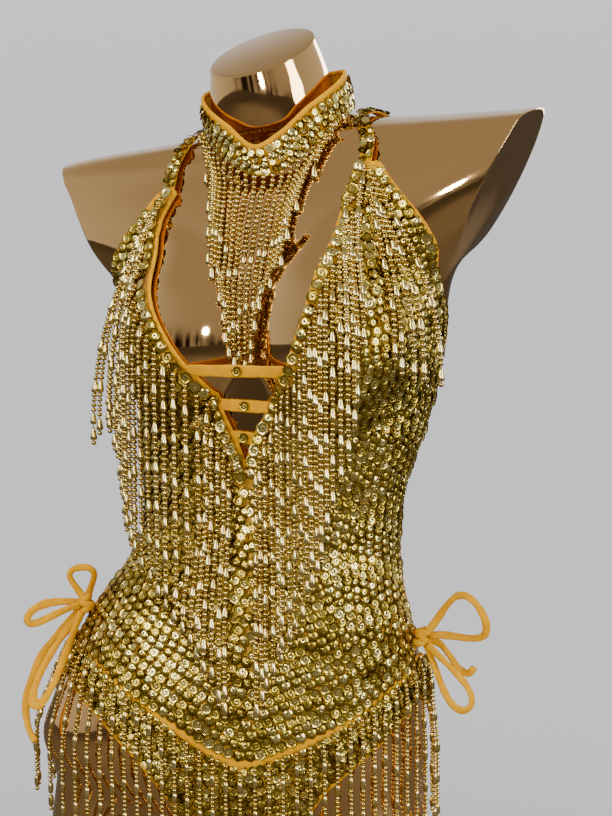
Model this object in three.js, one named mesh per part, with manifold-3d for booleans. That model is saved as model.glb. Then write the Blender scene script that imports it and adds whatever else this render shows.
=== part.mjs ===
// Sequined halter bodysuit with bead fringes, worn by a limbless torso form that stands on two thigh stubs.
// Millimetres, +Z up, the wearer faces -Y, so the wearer's right is at -X. The ground is z = 0.
// The form is a stack of rings. Every cloth piece is a thin wall that follows the form at a small distance.

import * as THREE from "three";
import { mergeVertices } from "three/addons/utils/BufferGeometryUtils.js";
import Module from "manifold-3d";

const wasm = await Module();
wasm.setup();

// ---------------------------------------------------------------- driving dimensions, mm
const CLOTH = 1.6; // wall of the sequined cloth
const CLEAR = 3; // form to the inner face of the cloth
const INSET = 0.6; // the form's facets, inside its smooth skin
const SEAM = 0.4; // gap between two pieces at a seam
const RAD = Math.PI / 180;

// The form's rings, from the underside of the pelvis to the neck. x, y: the ring's centre; half: half its width;
// front, back: its depths; power: 2 for an ellipse, more for squarer ends; turn: degrees that its front is turned
// towards -X; tilt: rise per mm towards +X; nod: rise per mm towards +Y.
const RINGS = [
  { z: 124, x: -12, y: 4, half: 8, front: 6, back: 6, power: 2, turn: -2, tilt: -0.01, nod: 0 },
  { z: 127, x: -12, y: 4, half: 38, front: 30, back: 32, power: 2, turn: -2, tilt: -0.01, nod: 0 },
  { z: 134, x: -12, y: 4, half: 68, front: 50, back: 54, power: 2, turn: -2, tilt: -0.02, nod: 0 },
  { z: 149, x: -12, y: 4, half: 106, front: 69, back: 77, power: 2, turn: -2, tilt: -0.04, nod: 0 },
  { z: 175, x: -14, y: 4, half: 146, front: 84, back: 97, power: 2, turn: -2, tilt: -0.06, nod: 0 },
  { z: 215, x: -17, y: 4, half: 170, front: 93, back: 110, power: 2, turn: -2, tilt: -0.07, nod: 0 },
  { z: 260, x: -11, y: 3, half: 163, front: 94, back: 106, power: 2, turn: -1, tilt: -0.075, nod: 0 },
  { z: 305, x: -3, y: 1, half: 151, front: 92, back: 92, power: 2, turn: 1, tilt: -0.07, nod: 0 },
  { z: 350, x: 3, y: -2, half: 135, front: 86, back: 76, power: 2, turn: 5, tilt: -0.055, nod: 0 },
  { z: 390, x: 13, y: -3, half: 117, front: 80, back: 67, power: 2, turn: 10, tilt: -0.03, nod: 0 },
  { z: 425, x: 20, y: -3, half: 111, front: 76, back: 65, power: 2, turn: 15, tilt: -0.01, nod: 0 },
  { z: 460, x: 22, y: -1, half: 116, front: 77, back: 70, power: 2, turn: 19, tilt: 0.01, nod: 0 },
  { z: 505, x: 28, y: 2, half: 128, front: 83, back: 80, power: 2, turn: 22, tilt: 0.03, nod: 0 },
  { z: 550, x: 35, y: 4, half: 133, front: 87, back: 88, power: 2, turn: 23, tilt: 0.05, nod: 0 },
  { z: 595, x: 37, y: 5, half: 138, front: 88, back: 94, power: 2, turn: 23, tilt: 0.065, nod: 0 },
  { z: 632, x: 36, y: 6, half: 150, front: 84, back: 95, power: 2.1, turn: 23, tilt: 0.08, nod: 0 },
  { z: 655, x: 38, y: 7, half: 180, front: 79, back: 92, power: 2.3, turn: 23, tilt: 0.1, nod: 0 },
  { z: 685, x: 40, y: 8, half: 215, front: 72, back: 84, power: 2.5, turn: 23, tilt: 0.12, nod: 0 },
  { z: 712, x: 42, y: 8, half: 238, front: 62, back: 75, power: 2.5, turn: 23, tilt: 0.13, nod: 0.03 },
  { z: 731, x: 43, y: 7, half: 250, front: 52, back: 63, power: 2.5, turn: 23, tilt: 0.13, nod: 0.06 },
  { z: 743, x: 42, y: 5, half: 252, front: 45, back: 54, power: 2.5, turn: 23, tilt: 0.13, nod: 0.09 },
  { z: 750, x: 40, y: 4, half: 240, front: 39, back: 49, power: 2.2, turn: 23, tilt: 0.13, nod: 0.12 },
  { z: 754, x: 37, y: 3, half: 185, front: 38, back: 47, power: 1.9, turn: 23, tilt: 0.13, nod: 0.14 },
  { z: 757, x: 32, y: 2, half: 105, front: 38, back: 46, power: 1.8, turn: 23, tilt: 0.14, nod: 0.16 },
  { z: 762, x: 28, y: -1, half: 64, front: 43, back: 46, power: 2, turn: 23, tilt: 0.17, nod: 0.2 },
  { z: 772, x: 24, y: -4, half: 54, front: 47, back: 47, power: 2, turn: 23, tilt: 0.23, nod: 0.25 },
  { z: 797, x: 19.5, y: -9, half: 49.5, front: 48, back: 48, power: 2, turn: 23, tilt: 0.29, nod: 0.36 },
  { z: 822.5, x: 14.5, y: -14, half: 44, front: 44, back: 44, power: 2, turn: 23, tilt: 0.3, nod: 0.46 },
];
const FORM_TOP = RINGS.at(-1).z;
const FORM_FOOT = RINGS[0].z;
const [FLOOR_ZONE, TOP_ZONE] = [175, 743]; // below and above these the form's surface turns level
// Flat armhole ends: half width at z, growth per mm, and the height under which they run out past the side.
const ARM_CUT = { z: 752, half: 218, right: 0.6, left: 0.54, foot: 628, out: 6 };
const BUST = { z: 583, side: 62, forward: 50, radius: 58, up: 1.8, down: 1.35, soft: 1.6, blend: 13 };
const THIGH = { x: -14, side: 98, y: 8, foot: 68, top: 72, height: 205 }; // stubs that the form stands on: centre, radii

// ---------------------------------------------------------------- the form's surface
const KEYS = ["x", "y", "half", "front", "back", "power", "turn", "tilt", "nod"];

// Smooth curve through a table's rows at z.
function along(rows, key, z, at = "z") {
  let i = 0;
  while (i < rows.length - 2 && z > rows[i + 1][at]) i++;
  const [a, b] = [rows[i], rows[i + 1]];
  const span = b[at] - a[at];
  const slope = (k) => {
    const [p, q] = [rows[Math.max(k - 1, 0)], rows[Math.min(k + 1, rows.length - 1)]];
    return (q[key] - p[key]) / (q[at] - p[at]);
  };
  const t = Math.min(1, Math.max(0, (z - a[at]) / span));
  const [t2, t3] = [t * t, t * t * t];
  return (
    (2 * t3 - 3 * t2 + 1) * a[key] +
    (t3 - 2 * t2 + t) * span * slope(i) +
    (3 * t2 - 2 * t3) * b[key] +
    (t3 - t2) * span * slope(i + 1)
  );
}

const ringCache = new Map();
function ringAt(z) {
  const key = Math.round(z * 50);
  if (!ringCache.has(key)) {
    ringCache.set(key, Object.fromEntries(KEYS.map((k) => [k, along(RINGS, k, key / 50)])));
  }
  return ringCache.get(key);
}

const smoothMax = (a, b, k) => k * Math.log(Math.exp(a / k) + Math.exp(b / k));

// Distance from a ring's centre to the skin, at phi degrees from its front towards +X.
function reach(phi, z) {
  const ring = ringAt(z);
  const [s, c] = [Math.sin(phi * RAD), Math.cos(phi * RAD)];
  const depth = c > 0 ? ring.front : ring.back;
  let r = (Math.abs(s / ring.half) ** ring.power + Math.abs(c / depth) ** ring.power) ** (-1 / ring.power);
  const tall = z > BUST.z ? BUST.up : BUST.down;
  const level = 1 - ((z - BUST.z) / tall / BUST.radius) ** 2;
  if (level > 0) {
    const slice = BUST.radius ** 2 * level ** BUST.soft;
    const [u, v] = [BUST.side, BUST.forward];
    const middle = u * Math.abs(s) + v * c;
    const half2 = slice - (u * u + v * v - middle * middle);
    if (half2 > 0 && middle > 0) r = smoothMax(r, middle + Math.sqrt(half2), BUST.blend);
  }
  return r;
}

function onRing(phi, z, r) {
  const ring = ringAt(z);
  const angle = (phi - ring.turn) * RAD;
  const [dx, dy] = [r * Math.sin(angle), -r * Math.cos(angle)];
  return new THREE.Vector3(ring.x + dx, ring.y + dy, z + ring.tilt * dx + ring.nod * dy);
}

// Height, between two ring heights, where the skin is at a reach of r.
function heightOf(phi, r, narrow, wide) {
  let [a, b] = [narrow, wide];
  for (let k = 0; k < 14; k++) {
    const middle = (a + b) / 2;
    if (reach(phi, middle) < r) a = middle;
    else b = middle;
  }
  return (a + b) / 2;
}

// The form's gap at a point: positive outside. Rings are tilted, so the point's own ring is found first. Level
// parts, which are the underside and the shoulders, are measured upright as well as outwards.
function ringGap(x, y, height) {
  let z = height;
  for (let i = 0; i < 6; i++) {
    const ring = ringAt(Math.min(FORM_TOP, Math.max(FORM_FOOT, z)));
    z = height - ring.tilt * (x - ring.x) - ring.nod * (y - ring.y);
  }
  const inside = Math.min(FORM_TOP, Math.max(FORM_FOOT, z));
  const ring = ringAt(inside);
  const [dx, dy] = [x - ring.x, y - ring.y];
  const phi = Math.atan2(dx, -dy) / RAD + ring.turn;
  const r = Math.hypot(dx, dy);
  const flat = r - reach(phi, inside);
  let upright = null;
  if (z < FLOOR_ZONE && r < reach(phi, FLOOR_ZONE)) upright = heightOf(phi, r, FORM_FOOT, FLOOR_ZONE) - z;
  if (z > TOP_ZONE && r < reach(phi, TOP_ZONE)) upright = z - heightOf(phi, r, FORM_TOP, TOP_ZONE);
  if (upright === null) return flat;
  if (z < FORM_FOOT || (z > FORM_TOP && flat < 0)) return upright;
  return (Math.sign(upright) * Math.abs(flat * upright)) / Math.max(1e-6, Math.hypot(flat, upright));
}

function thighGap(x, y, z) {
  const side = THIGH.x + THIGH.side * Math.sign(x - THIGH.x);
  const radius = THIGH.foot + ((THIGH.top - THIGH.foot) * z) / THIGH.height;
  return Math.max(Math.hypot(x - side, y - THIGH.y) - radius, z - THIGH.height);
}

const gapAt = (p) => Math.min(ringGap(p.x, p.y, p.z), thighGap(p.x, p.y, p.z));

// Nearly true distance to the form, and the direction away from it.
function distanceTo(p) {
  const e = 0.8;
  const g = gapAt(p);
  const slope = new THREE.Vector3(
    gapAt({ x: p.x + e, y: p.y, z: p.z }) - gapAt({ x: p.x - e, y: p.y, z: p.z }),
    gapAt({ x: p.x, y: p.y + e, z: p.z }) - gapAt({ x: p.x, y: p.y - e, z: p.z }),
    gapAt({ x: p.x, y: p.y, z: p.z + e }) - gapAt({ x: p.x, y: p.y, z: p.z - e }),
  ).divideScalar(2 * e);
  const steep = Math.max(1, slope.length());
  return { distance: g / steep, away: slope.normalize() };
}

// The skin's point at phi, z, moved off along its normal.
function skin(phi, z, off = 0) {
  const p = onRing(phi, z, reach(phi, z));
  const e = 1.5;
  const across = onRing(phi + e, z, reach(phi + e, z)).sub(onRing(phi - e, z, reach(phi - e, z)));
  const upward = onRing(phi, z + e, reach(phi, z + e)).sub(onRing(phi, z - e, reach(phi, z - e)));
  return p.addScaledVector(across.cross(upward).normalize(), off);
}

// ---------------------------------------------------------------- walls, tubes and joins
// A closed wall between two grids of points. outer[j][i] and inner[j][i]; columns may close round.
function wall(outer, inner, round = false) {
  const [rows, cols] = [outer.length, outer[0].length];
  const at = (side, j, i) => (side * rows + j) * cols + (i % cols);
  const faces = [];
  const quad = (a, b, c, d) => faces.push(a, b, c, a, c, d);
  const last = round ? cols : cols - 1;
  for (let j = 0; j < rows - 1; j++) {
    for (let i = 0; i < last; i++) {
      quad(at(0, j, i), at(0, j, i + 1), at(0, j + 1, i + 1), at(0, j + 1, i));
      quad(at(1, j, i), at(1, j + 1, i), at(1, j + 1, i + 1), at(1, j, i + 1));
    }
  }
  for (let i = 0; i < last; i++) {
    quad(at(1, 0, i), at(1, 0, i + 1), at(0, 0, i + 1), at(0, 0, i));
    quad(at(0, rows - 1, i), at(0, rows - 1, i + 1), at(1, rows - 1, i + 1), at(1, rows - 1, i));
  }
  if (!round) {
    for (let j = 0; j < rows - 1; j++) {
      quad(at(1, j + 1, 0), at(1, j, 0), at(0, j, 0), at(0, j + 1, 0));
      quad(at(1, j, cols - 1), at(1, j + 1, cols - 1), at(0, j + 1, cols - 1), at(0, j, cols - 1));
    }
  }
  return shape([...outer.flat(), ...inner.flat()], faces);
}

function shape(points, faces) {
  const geometry = new THREE.BufferGeometry();
  geometry.setAttribute("position", new THREE.Float32BufferAttribute(points.flatMap((p) => [p.x, p.y, p.z]), 3));
  geometry.setIndex(faces);
  return outwards(geometry);
}

// Faces turned out where a mirrored grid left them in.
function outwards(geometry) {
  const [p, index] = [geometry.attributes.position, geometry.index.array];
  let volume = 0;
  const [a, b, c] = [new THREE.Vector3(), new THREE.Vector3(), new THREE.Vector3()];
  for (let i = 0; i < index.length; i += 3) {
    a.fromBufferAttribute(p, index[i]);
    b.fromBufferAttribute(p, index[i + 1]);
    c.fromBufferAttribute(p, index[i + 2]);
    volume += a.dot(b.cross(c));
  }
  if (volume < 0) for (let i = 0; i < index.length; i += 3) [index[i], index[i + 1]] = [index[i + 1], index[i]];
  return geometry;
}

// A tube of a few sides along points, with flat ends. width and thick are across and out from the form.
function ribbon(points, out, width, thick, sides = 4) {
  const rings = points.map((p, k) => {
    const next = points[Math.min(k + 1, points.length - 1)];
    const back = points[Math.max(k - 1, 0)];
    const run = next.clone().sub(back).normalize();
    const side = run.clone().cross(out[k]).normalize();
    const lift = side.clone().cross(run).normalize();
    return Array.from({ length: sides }, (_, i) => {
      const angle = ((i + 0.5) / sides) * 2 * Math.PI;
      const grow = sides === 4 ? Math.SQRT1_2 : 0.5;
      return p
        .clone()
        .addScaledVector(side, Math.cos(angle) * width * grow)
        .addScaledVector(lift, Math.sin(angle) * thick * grow);
    });
  });
  const faces = [];
  const at = (k, i) => k * sides + (i % sides);
  for (let k = 0; k < rings.length - 1; k++) {
    for (let i = 0; i < sides; i++) {
      faces.push(at(k, i), at(k, i + 1), at(k + 1, i + 1), at(k, i), at(k + 1, i + 1), at(k + 1, i));
    }
  }
  for (let i = 1; i < sides - 1; i++) {
    faces.push(at(0, 0), at(0, i + 1), at(0, i));
    faces.push(at(rings.length - 1, 0), at(rings.length - 1, i), at(rings.length - 1, i + 1));
  }
  return shape(rings.flat(), faces);
}

function solid(geometry) {
  const bare = new THREE.BufferGeometry().setAttribute("position", geometry.attributes.position);
  bare.setIndex(geometry.index);
  const merged = mergeVertices(bare, 1e-4);
  return new wasm.Manifold(
    new wasm.Mesh({
      numProp: 3,
      vertProperties: merged.attributes.position.array,
      triVerts: new Uint32Array(merged.index.array),
    }),
  );
}

function fromSolid(body) {
  const mesh = body.getMesh();
  const geometry = new THREE.BufferGeometry();
  geometry.setAttribute("position", new THREE.BufferAttribute(mesh.vertProperties, 3));
  geometry.setIndex(new THREE.BufferAttribute(mesh.triVerts, 1));
  return geometry;
}

const fused = (geometries) => fromSolid(wasm.Manifold.union(geometries.map(solid)));

const suit = new THREE.Group();

function add(name, geometry, material) {
  const mesh = new THREE.Mesh(geometry, material);
  mesh.name = name;
  suit.add(mesh);
  return mesh;
}

const CHROME = new THREE.MeshStandardMaterial({ color: 0xcaa678, metalness: 1, roughness: 0.08 });
const GOLD = new THREE.MeshStandardMaterial({ color: 0xb8922f, metalness: 0.9, roughness: 0.3 });
const BEAD = new THREE.MeshStandardMaterial({ color: 0xc9ab58, metalness: 1, roughness: 0.2 });
const SPANDEX = new THREE.MeshStandardMaterial({ color: 0xfbb031, metalness: 0, roughness: 0.7 });

// ---------------------------------------------------------------- the torso form
// Degrees each way from the front.
const FORM_COLUMNS = [0, 9, 18, 27, 36, 45, 54, 63, 71, 79, 86, 93, 101, 112, 126, 143, 161];
const FORM_BACK = 180;
function formGeometry() {
  const levels = [];
  for (let k = 0; k < RINGS.length - 1; k++) {
    const rise = RINGS[k + 1].z - RINGS[k].z;
    const steps = RINGS[k].z > 450 && rise > 22 ? 2 : 1;
    for (let s = 0; s < steps; s++) levels.push(RINGS[k].z + (rise * s) / steps);
  }
  levels.push(FORM_TOP);
  const turned = [...FORM_COLUMNS, FORM_BACK, ...FORM_COLUMNS.slice(1).reverse().map((phi) => -phi)];
  const sides = turned.length;
  const points = levels.flatMap((z) => turned.map((phi) => onRing(phi, z, reach(phi, z) - INSET)));
  const faces = [];
  const at = (k, i) => k * sides + (i % sides);
  for (let k = 0; k < levels.length - 1; k++) {
    for (let i = 0; i < sides; i++) {
      faces.push(at(k, i), at(k, i + 1), at(k + 1, i + 1), at(k, i), at(k + 1, i + 1), at(k + 1, i));
    }
  }
  const [foot, top] = [points.length, points.length + 1];
  points.push(onRing(0, FORM_FOOT, 0), onRing(0, FORM_TOP, 0));
  for (let i = 0; i < sides; i++) {
    faces.push(foot, at(0, i + 1), at(0, i), top, at(levels.length - 1, i), at(levels.length - 1, i + 1));
  }
  return shape(points, faces);
}

// The block that an armhole end is cut flat with; side is -1 or 1.
function armBlock(side) {
  const corner = (half, z, depth) => {
    const ring = ringAt(ARM_CUT.z);
    const angle = ring.turn * RAD;
    const u = side * half;
    const [dx, dy] = [u * Math.cos(angle) - depth * Math.sin(angle), -u * Math.sin(angle) - depth * Math.cos(angle)];
    return new THREE.Vector3(ring.x + dx, ring.y + dy, z + ring.tilt * dx);
  };
  const slope = side < 0 ? ARM_CUT.right : ARM_CUT.left;
  const cut = (z) => ARM_CUT.half + slope * (z - ARM_CUT.z);
  const edge = [
    [cut(ARM_CUT.foot) + ARM_CUT.out, 560],
    [cut(ARM_CUT.foot), ARM_CUT.foot],
    [cut(800), 800],
  ];
  const grid = (far) => edge.map(([half, z]) => [-150, 150].map((depth) => corner(far ? 400 : half, z, depth)));
  return wall(grid(true), grid(false));
}

function thighGeometry(side) {
  const geometry = new THREE.CylinderGeometry(THIGH.top, THIGH.foot, THIGH.height, 28, 1);
  geometry.rotateX(Math.PI / 2);
  geometry.translate(side * THIGH.side + THIGH.x, THIGH.y, THIGH.height / 2);
  return geometry;
}

function formBody() {
  const whole = wasm.Manifold.union([formGeometry(), thighGeometry(-1), thighGeometry(1)].map(solid));
  return fromSolid(whole.subtract(solid(armBlock(-1))).subtract(solid(armBlock(1))));
}

add("torso_form", formBody(), CHROME);

// ---------------------------------------------------------------- the cloth's outline on the skin
// Edges of the two front panels: the neckline, which is the centre seam below z 478, and the side with the armhole.
// Degrees from the form's front; right and left are the wearer's.
const EDGES = [
  { z: 225, innerRight: 6, innerLeft: 6, outerRight: -80, outerLeft: 78 },
  { z: 310, innerRight: 3.5, innerLeft: 3.5, outerRight: -80, outerLeft: 78 },
  { z: 335, innerRight: 2.5, innerLeft: 2.5, outerRight: -80, outerLeft: 83 },
  { z: 360, innerRight: 2, innerLeft: 2, outerRight: -76, outerLeft: 83 },
  { z: 402, innerRight: 1.5, innerLeft: 1.5, outerRight: -77, outerLeft: 86 },
  { z: 440, innerRight: 2, innerLeft: 2, outerRight: -82, outerLeft: 88 },
  { z: 474, innerRight: 3.8, innerLeft: 3.8, outerRight: -86, outerLeft: 89 },
  { z: 478, innerRight: 3.9, innerLeft: 4.1, outerRight: -86, outerLeft: 89 },
  { z: 503, innerRight: -3.5, innerLeft: 9, outerRight: -87, outerLeft: 90 },
  { z: 531, innerRight: -14, innerLeft: 17, outerRight: -88, outerLeft: 91 },
  { z: 560, innerRight: -22, innerLeft: 23.5, outerRight: -89, outerLeft: 90.5 },
  { z: 594, innerRight: -31, innerLeft: 28, outerRight: -87, outerLeft: 88 },
  { z: 633, innerRight: -42, innerLeft: 35, outerRight: -77, outerLeft: 77.5 },
  { z: 660, innerRight: -49, innerLeft: 41.5, outerRight: -68.5, outerLeft: 68.5 },
  { z: 690, innerRight: -54.5, innerLeft: 48.5, outerRight: -62.5, outerLeft: 62 },
  { z: 718, innerRight: -56, innerLeft: 54, outerRight: -61, outerLeft: 60 },
];
// The V hem: height at each angle. The fringe's band lies over this seam.
const HEM = [
  { phi: -86, z: 313 },
  { phi: -68, z: 301 },
  { phi: -56, z: 287 },
  { phi: -44, z: 274 },
  { phi: -30, z: 260 },
  { phi: -12, z: 243 },
  { phi: 6, z: 234 },
  { phi: 24, z: 246 },
  { phi: 49, z: 270 },
  { phi: 65, z: 295 },
  { phi: 86, z: 314 },
];
// The brief's leg openings: their angle in front on each side, and their half angle behind.
const LEGS = [
  { z: 172, right: 26.25, left: 33, back: 33 },
  { z: 185, right: 29, left: 36, back: 40 },
  { z: 205, right: 34, left: 41, back: 51 },
  { z: 227, right: 43, left: 51, back: 64 },
  { z: 243, right: 52, left: 59.5, back: 74 },
  { z: 257, right: 60, left: 65, back: 82 },
  { z: 270, right: 69, left: 71, back: 90 },
  { z: 284, right: 80, left: 78, back: 101.8 },
];
const HEM_ANGLES = { middle: 6, right: -80, left: 78 }; // the V hem's lowest point and its two ends
const GUSSET = { x: -13, y: 4, z: 200 }; // the strip's rays start from this line
const GUSSET_COLUMNS = { front: [5, 11], back: [6, 10] }; // the brief's columns that go on as its strip
const GUSSET_ROWS = [
  { angle: 27, front: 37, back: 47 },
  { angle: 40, front: 29, back: 37 },
  { angle: 53, front: 24, back: 29 },
  { angle: 66, front: 21, back: 23 },
  { angle: 79, front: 20, back: 20 },
  { angle: 89.8, front: 19.5, back: 19.5 },
];
const BRIEF_BREAK = 172; // rows above are rings, rows below are rays
const BACK_COLUMNS = [-101.8, -88, -76, -64, -52, -42, -33, -17, 0, 17, 33, 42, 52, 64, 76, 88, 98.5];
const BACK_TOP = { side: 312, middle: 280 };

const OUTER = CLEAR + CLOTH;

// Pieces are kept as grids, so that what lies on them is made from their points.
function patch(rows, cols, place, cell = () => true) {
  const inner = Array.from({ length: rows + 1 }, (_, j) =>
    Array.from({ length: cols + 1 }, (_, i) => {
      const has = (m, n) => m >= 0 && n >= 0 && m < cols && n < rows && cell(m, n);
      const used = has(i, j) || has(i - 1, j) || has(i, j - 1) || has(i - 1, j - 1);
      return used ? place(i, j) : null;
    }),
  );
  for (let pass = 0; pass < 4; pass++) clearFacets(inner, cell);
  const out = normals(inner, cell);
  const outer = inner.map((row, j) => row.map((p, i) => p && p.clone().addScaledVector(out[j][i], CLOTH)));
  return { outer, inner, out, cell };
}

// The mean direction of the cells round each point of a grid, away from the form.
function normals(grid, cell) {
  const out = grid.map((row) => row.map((p) => p && new THREE.Vector3()));
  for (let j = 0; j < grid.length - 1; j++) {
    for (let i = 0; i < grid[0].length - 1; i++) {
      if (!cell(i, j)) continue;
      const [a, b] = [grid[j + 1][i + 1].clone().sub(grid[j][i]), grid[j + 1][i].clone().sub(grid[j][i + 1])];
      const across = a.cross(b).normalize();
      if (across.dot(distanceTo(grid[j][i]).away) < 0) across.negate();
      for (const [m, n] of [[j, i], [j, i + 1], [j + 1, i], [j + 1, i + 1]]) out[m][n].add(across);
    }
  }
  return out.map((row) => row.map((p) => p && p.normalize()));
}

const cloth = (rows, cols, place) => patch(rows, cols, (i, j) => place(i / cols, j / rows, CLEAR));

// Facets cut the corner of a rounded form, so their corners move out until their middles are clear of it.
function clearFacets(grid, cell) {
  for (let j = 0; j < grid.length - 1; j++) {
    for (let i = 0; i < grid[0].length - 1; i++) {
      if (!cell(i, j)) continue;
      const corners = [grid[j][i], grid[j][i + 1], grid[j + 1][i + 1], grid[j + 1][i]];
      const middles = [
        [0, 2],
        [1, 3],
        [0, 1],
        [0, 3],
        [1, 2],
        [2, 3],
      ];
      for (const [a, b] of middles) {
        const { distance, away } = distanceTo(corners[a].clone().lerp(corners[b], 0.5));
        if (distance >= CLEAR - 0.6) continue;
        for (const p of [corners[a], corners[b]]) p.addScaledVector(away, (CLEAR - 0.6 - distance) * 0.6);
      }
    }
  }
}

// A closed wall over the cells that are used; its rim is closed along every edge that only one cell has.
function sheet({ outer, inner, cell }) {
  const [rows, cols] = [outer.length, outer[0].length];
  const ids = new Map();
  const points = [];
  const at = (side, j, i) => {
    const key = (side * rows + j) * cols + i;
    if (!ids.has(key)) {
      ids.set(key, points.length);
      points.push((side ? inner : outer)[j][i]);
    }
    return ids.get(key);
  };
  const faces = [];
  const quad = (a, b, c, d) => faces.push(a, b, c, a, c, d);
  const has = (j, i) => j >= 0 && i >= 0 && j < rows - 1 && i < cols - 1 && cell(i, j);
  const rim = (j0, i0, j1, i1) => quad(at(1, j0, i0), at(1, j1, i1), at(0, j1, i1), at(0, j0, i0));
  for (let j = 0; j < rows - 1; j++) {
    for (let i = 0; i < cols - 1; i++) {
      if (!has(j, i)) continue;
      quad(at(0, j, i), at(0, j, i + 1), at(0, j + 1, i + 1), at(0, j + 1, i));
      quad(at(1, j, i), at(1, j + 1, i), at(1, j + 1, i + 1), at(1, j, i + 1));
      if (!has(j - 1, i)) rim(j, i, j, i + 1);
      if (!has(j + 1, i)) rim(j + 1, i + 1, j + 1, i);
      if (!has(j, i - 1)) rim(j + 1, i, j, i);
      if (!has(j, i + 1)) rim(j, i + 1, j + 1, i + 1);
    }
  }
  return shape(points, faces);
}

function seamAngle(gap, phi, z) {
  return gap / reach(phi, z) / RAD;
}

// Columns of a front panel, from the centre to its side. The first is as wide as the trim on the neckline.
const FRONT_FRACTIONS = [0, 0.06, 0.18, 0.36, 0.5, 0.62, 0.75, 0.87, 1];
const FRONT_ROWS = 25;

// f runs from the centre to the side, t from the hem to the top.
function frontPlace(side) {
  const [inner, outer] = side < 0 ? ["innerRight", "outerRight"] : ["innerLeft", "outerLeft"];
  return (f, t) => {
    let [z, phi] = [300, 0];
    for (let k = 0; k < 12; k++) {
      const from = along(EDGES, inner, z) + side * seamAngle(SEAM / 2, 0, z);
      phi = from + (along(EDGES, outer, z) - from) * f;
      const low = along(HEM, "z", phi, "phi") + SEAM / 2;
      z = low + (EDGES.at(-1).z - low) * t;
    }
    return skin(phi, z, CLEAR);
  };
}

function frontPanel(side) {
  const place = frontPlace(side);
  return patch(FRONT_ROWS, FRONT_FRACTIONS.length - 1, (i, j) => place(FRONT_FRACTIONS[i], j / FRONT_ROWS));
}

const fronts = { right: frontPanel(-1), left: frontPanel(1) };
add("front_right", sheet(fronts.right), GOLD);
add("front_left", sheet(fronts.left), GOLD);

// A ray towards the brief's line, stopped where the form is at the wanted distance.
function rayTo(origin, direction, off) {
  let far = 190;
  const p = new THREE.Vector3();
  for (let k = 0; k < 400; k++) {
    p.copy(origin).addScaledVector(direction, far);
    const { distance } = distanceTo(p);
    if (Math.abs(distance - off) < 0.01) break;
    far -= (distance - off) * 0.6;
  }
  return p.clone();
}

function legHeight(angle, key) {
  let i = 0;
  while (i < LEGS.length - 2 && angle > LEGS[i + 1][key]) i++;
  const [a, b] = [LEGS[i], LEGS[i + 1]];
  return a.z + ((b.z - a.z) * (angle - a[key])) / (b[key] - a[key]);
}

const hemAngle = (f, side) => HEM_ANGLES.middle + (HEM_ANGLES[side] - HEM_ANGLES.middle) * f;
const BRIEF_COLUMNS = {
  front: [
    ...FRONT_FRACTIONS.map((f) => hemAngle(f, "right")).reverse(),
    ...FRONT_FRACTIONS.slice(1).map((f) => hemAngle(f, "left")),
  ],
  back: BACK_COLUMNS,
};
const BRIEF_ROWS = { front: 6, back: 8 };

// Rows from the hem to the leg openings, then the strip's rows in its own columns only.
function brief(side) {
  const front = side === "front";
  const [from, to] = GUSSET_COLUMNS[side];
  const rings = BRIEF_ROWS[side];
  const rows = rings + GUSSET_ROWS.length;
  const place = (i, j) => {
    const column = BRIEF_COLUMNS[side][i];
    if (j > rings) {
      const row = GUSSET_ROWS[j - rings - 1];
      const lean = row.angle * RAD;
      const across = (2 * (i - from)) / (to - from) - 1;
      const origin = new THREE.Vector3(GUSSET.x + (front ? 1 : -1) * across * row[side], GUSSET.y, GUSSET.z);
      return rayTo(origin, new THREE.Vector3(0, (front ? -1 : 1) * Math.cos(lean), -Math.sin(lean)), CLEAR);
    }
    const phi = front ? column : 180 + column;
    const top = front
      ? along(HEM, "z", phi, "phi") - SEAM / 2
      : BACK_TOP.middle + (BACK_TOP.side - BACK_TOP.middle) * Math.abs(column / 100) ** 1.6;
    const inStrip = i >= from && i <= to;
    const key = front ? (column < 0 ? "right" : "left") : "back";
    const low = inStrip ? BRIEF_BREAK : legHeight(Math.abs(column), key);
    return skin(phi, top + ((low - top) * j) / rings, CLEAR);
  };
  const cell = (i, j) => j < rings || (i >= from && i < to);
  return patch(rows, BRIEF_COLUMNS[side].length - 1, place, cell);
}

const briefs = { front: brief("front"), back: brief("back") };
add("brief_front", sheet(briefs.front), GOLD);
add("brief_back", sheet(briefs.back), GOLD);

// ---------------------------------------------------------------- straps and bands
const STRAP = { width: 10, thick: 1.6, low: 0.15, topRight: 8, topLeft: 1 };
const BAND = { z: 575, height: 14 };

// Away from the form to at least the distance off.
function lifted(p, off) {
  const q = p.clone();
  for (let k = 0; k < 8; k++) {
    const { distance, away } = distanceTo(q);
    if (distance >= off) break;
    q.addScaledVector(away, off - distance);
  }
  return q;
}

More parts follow.
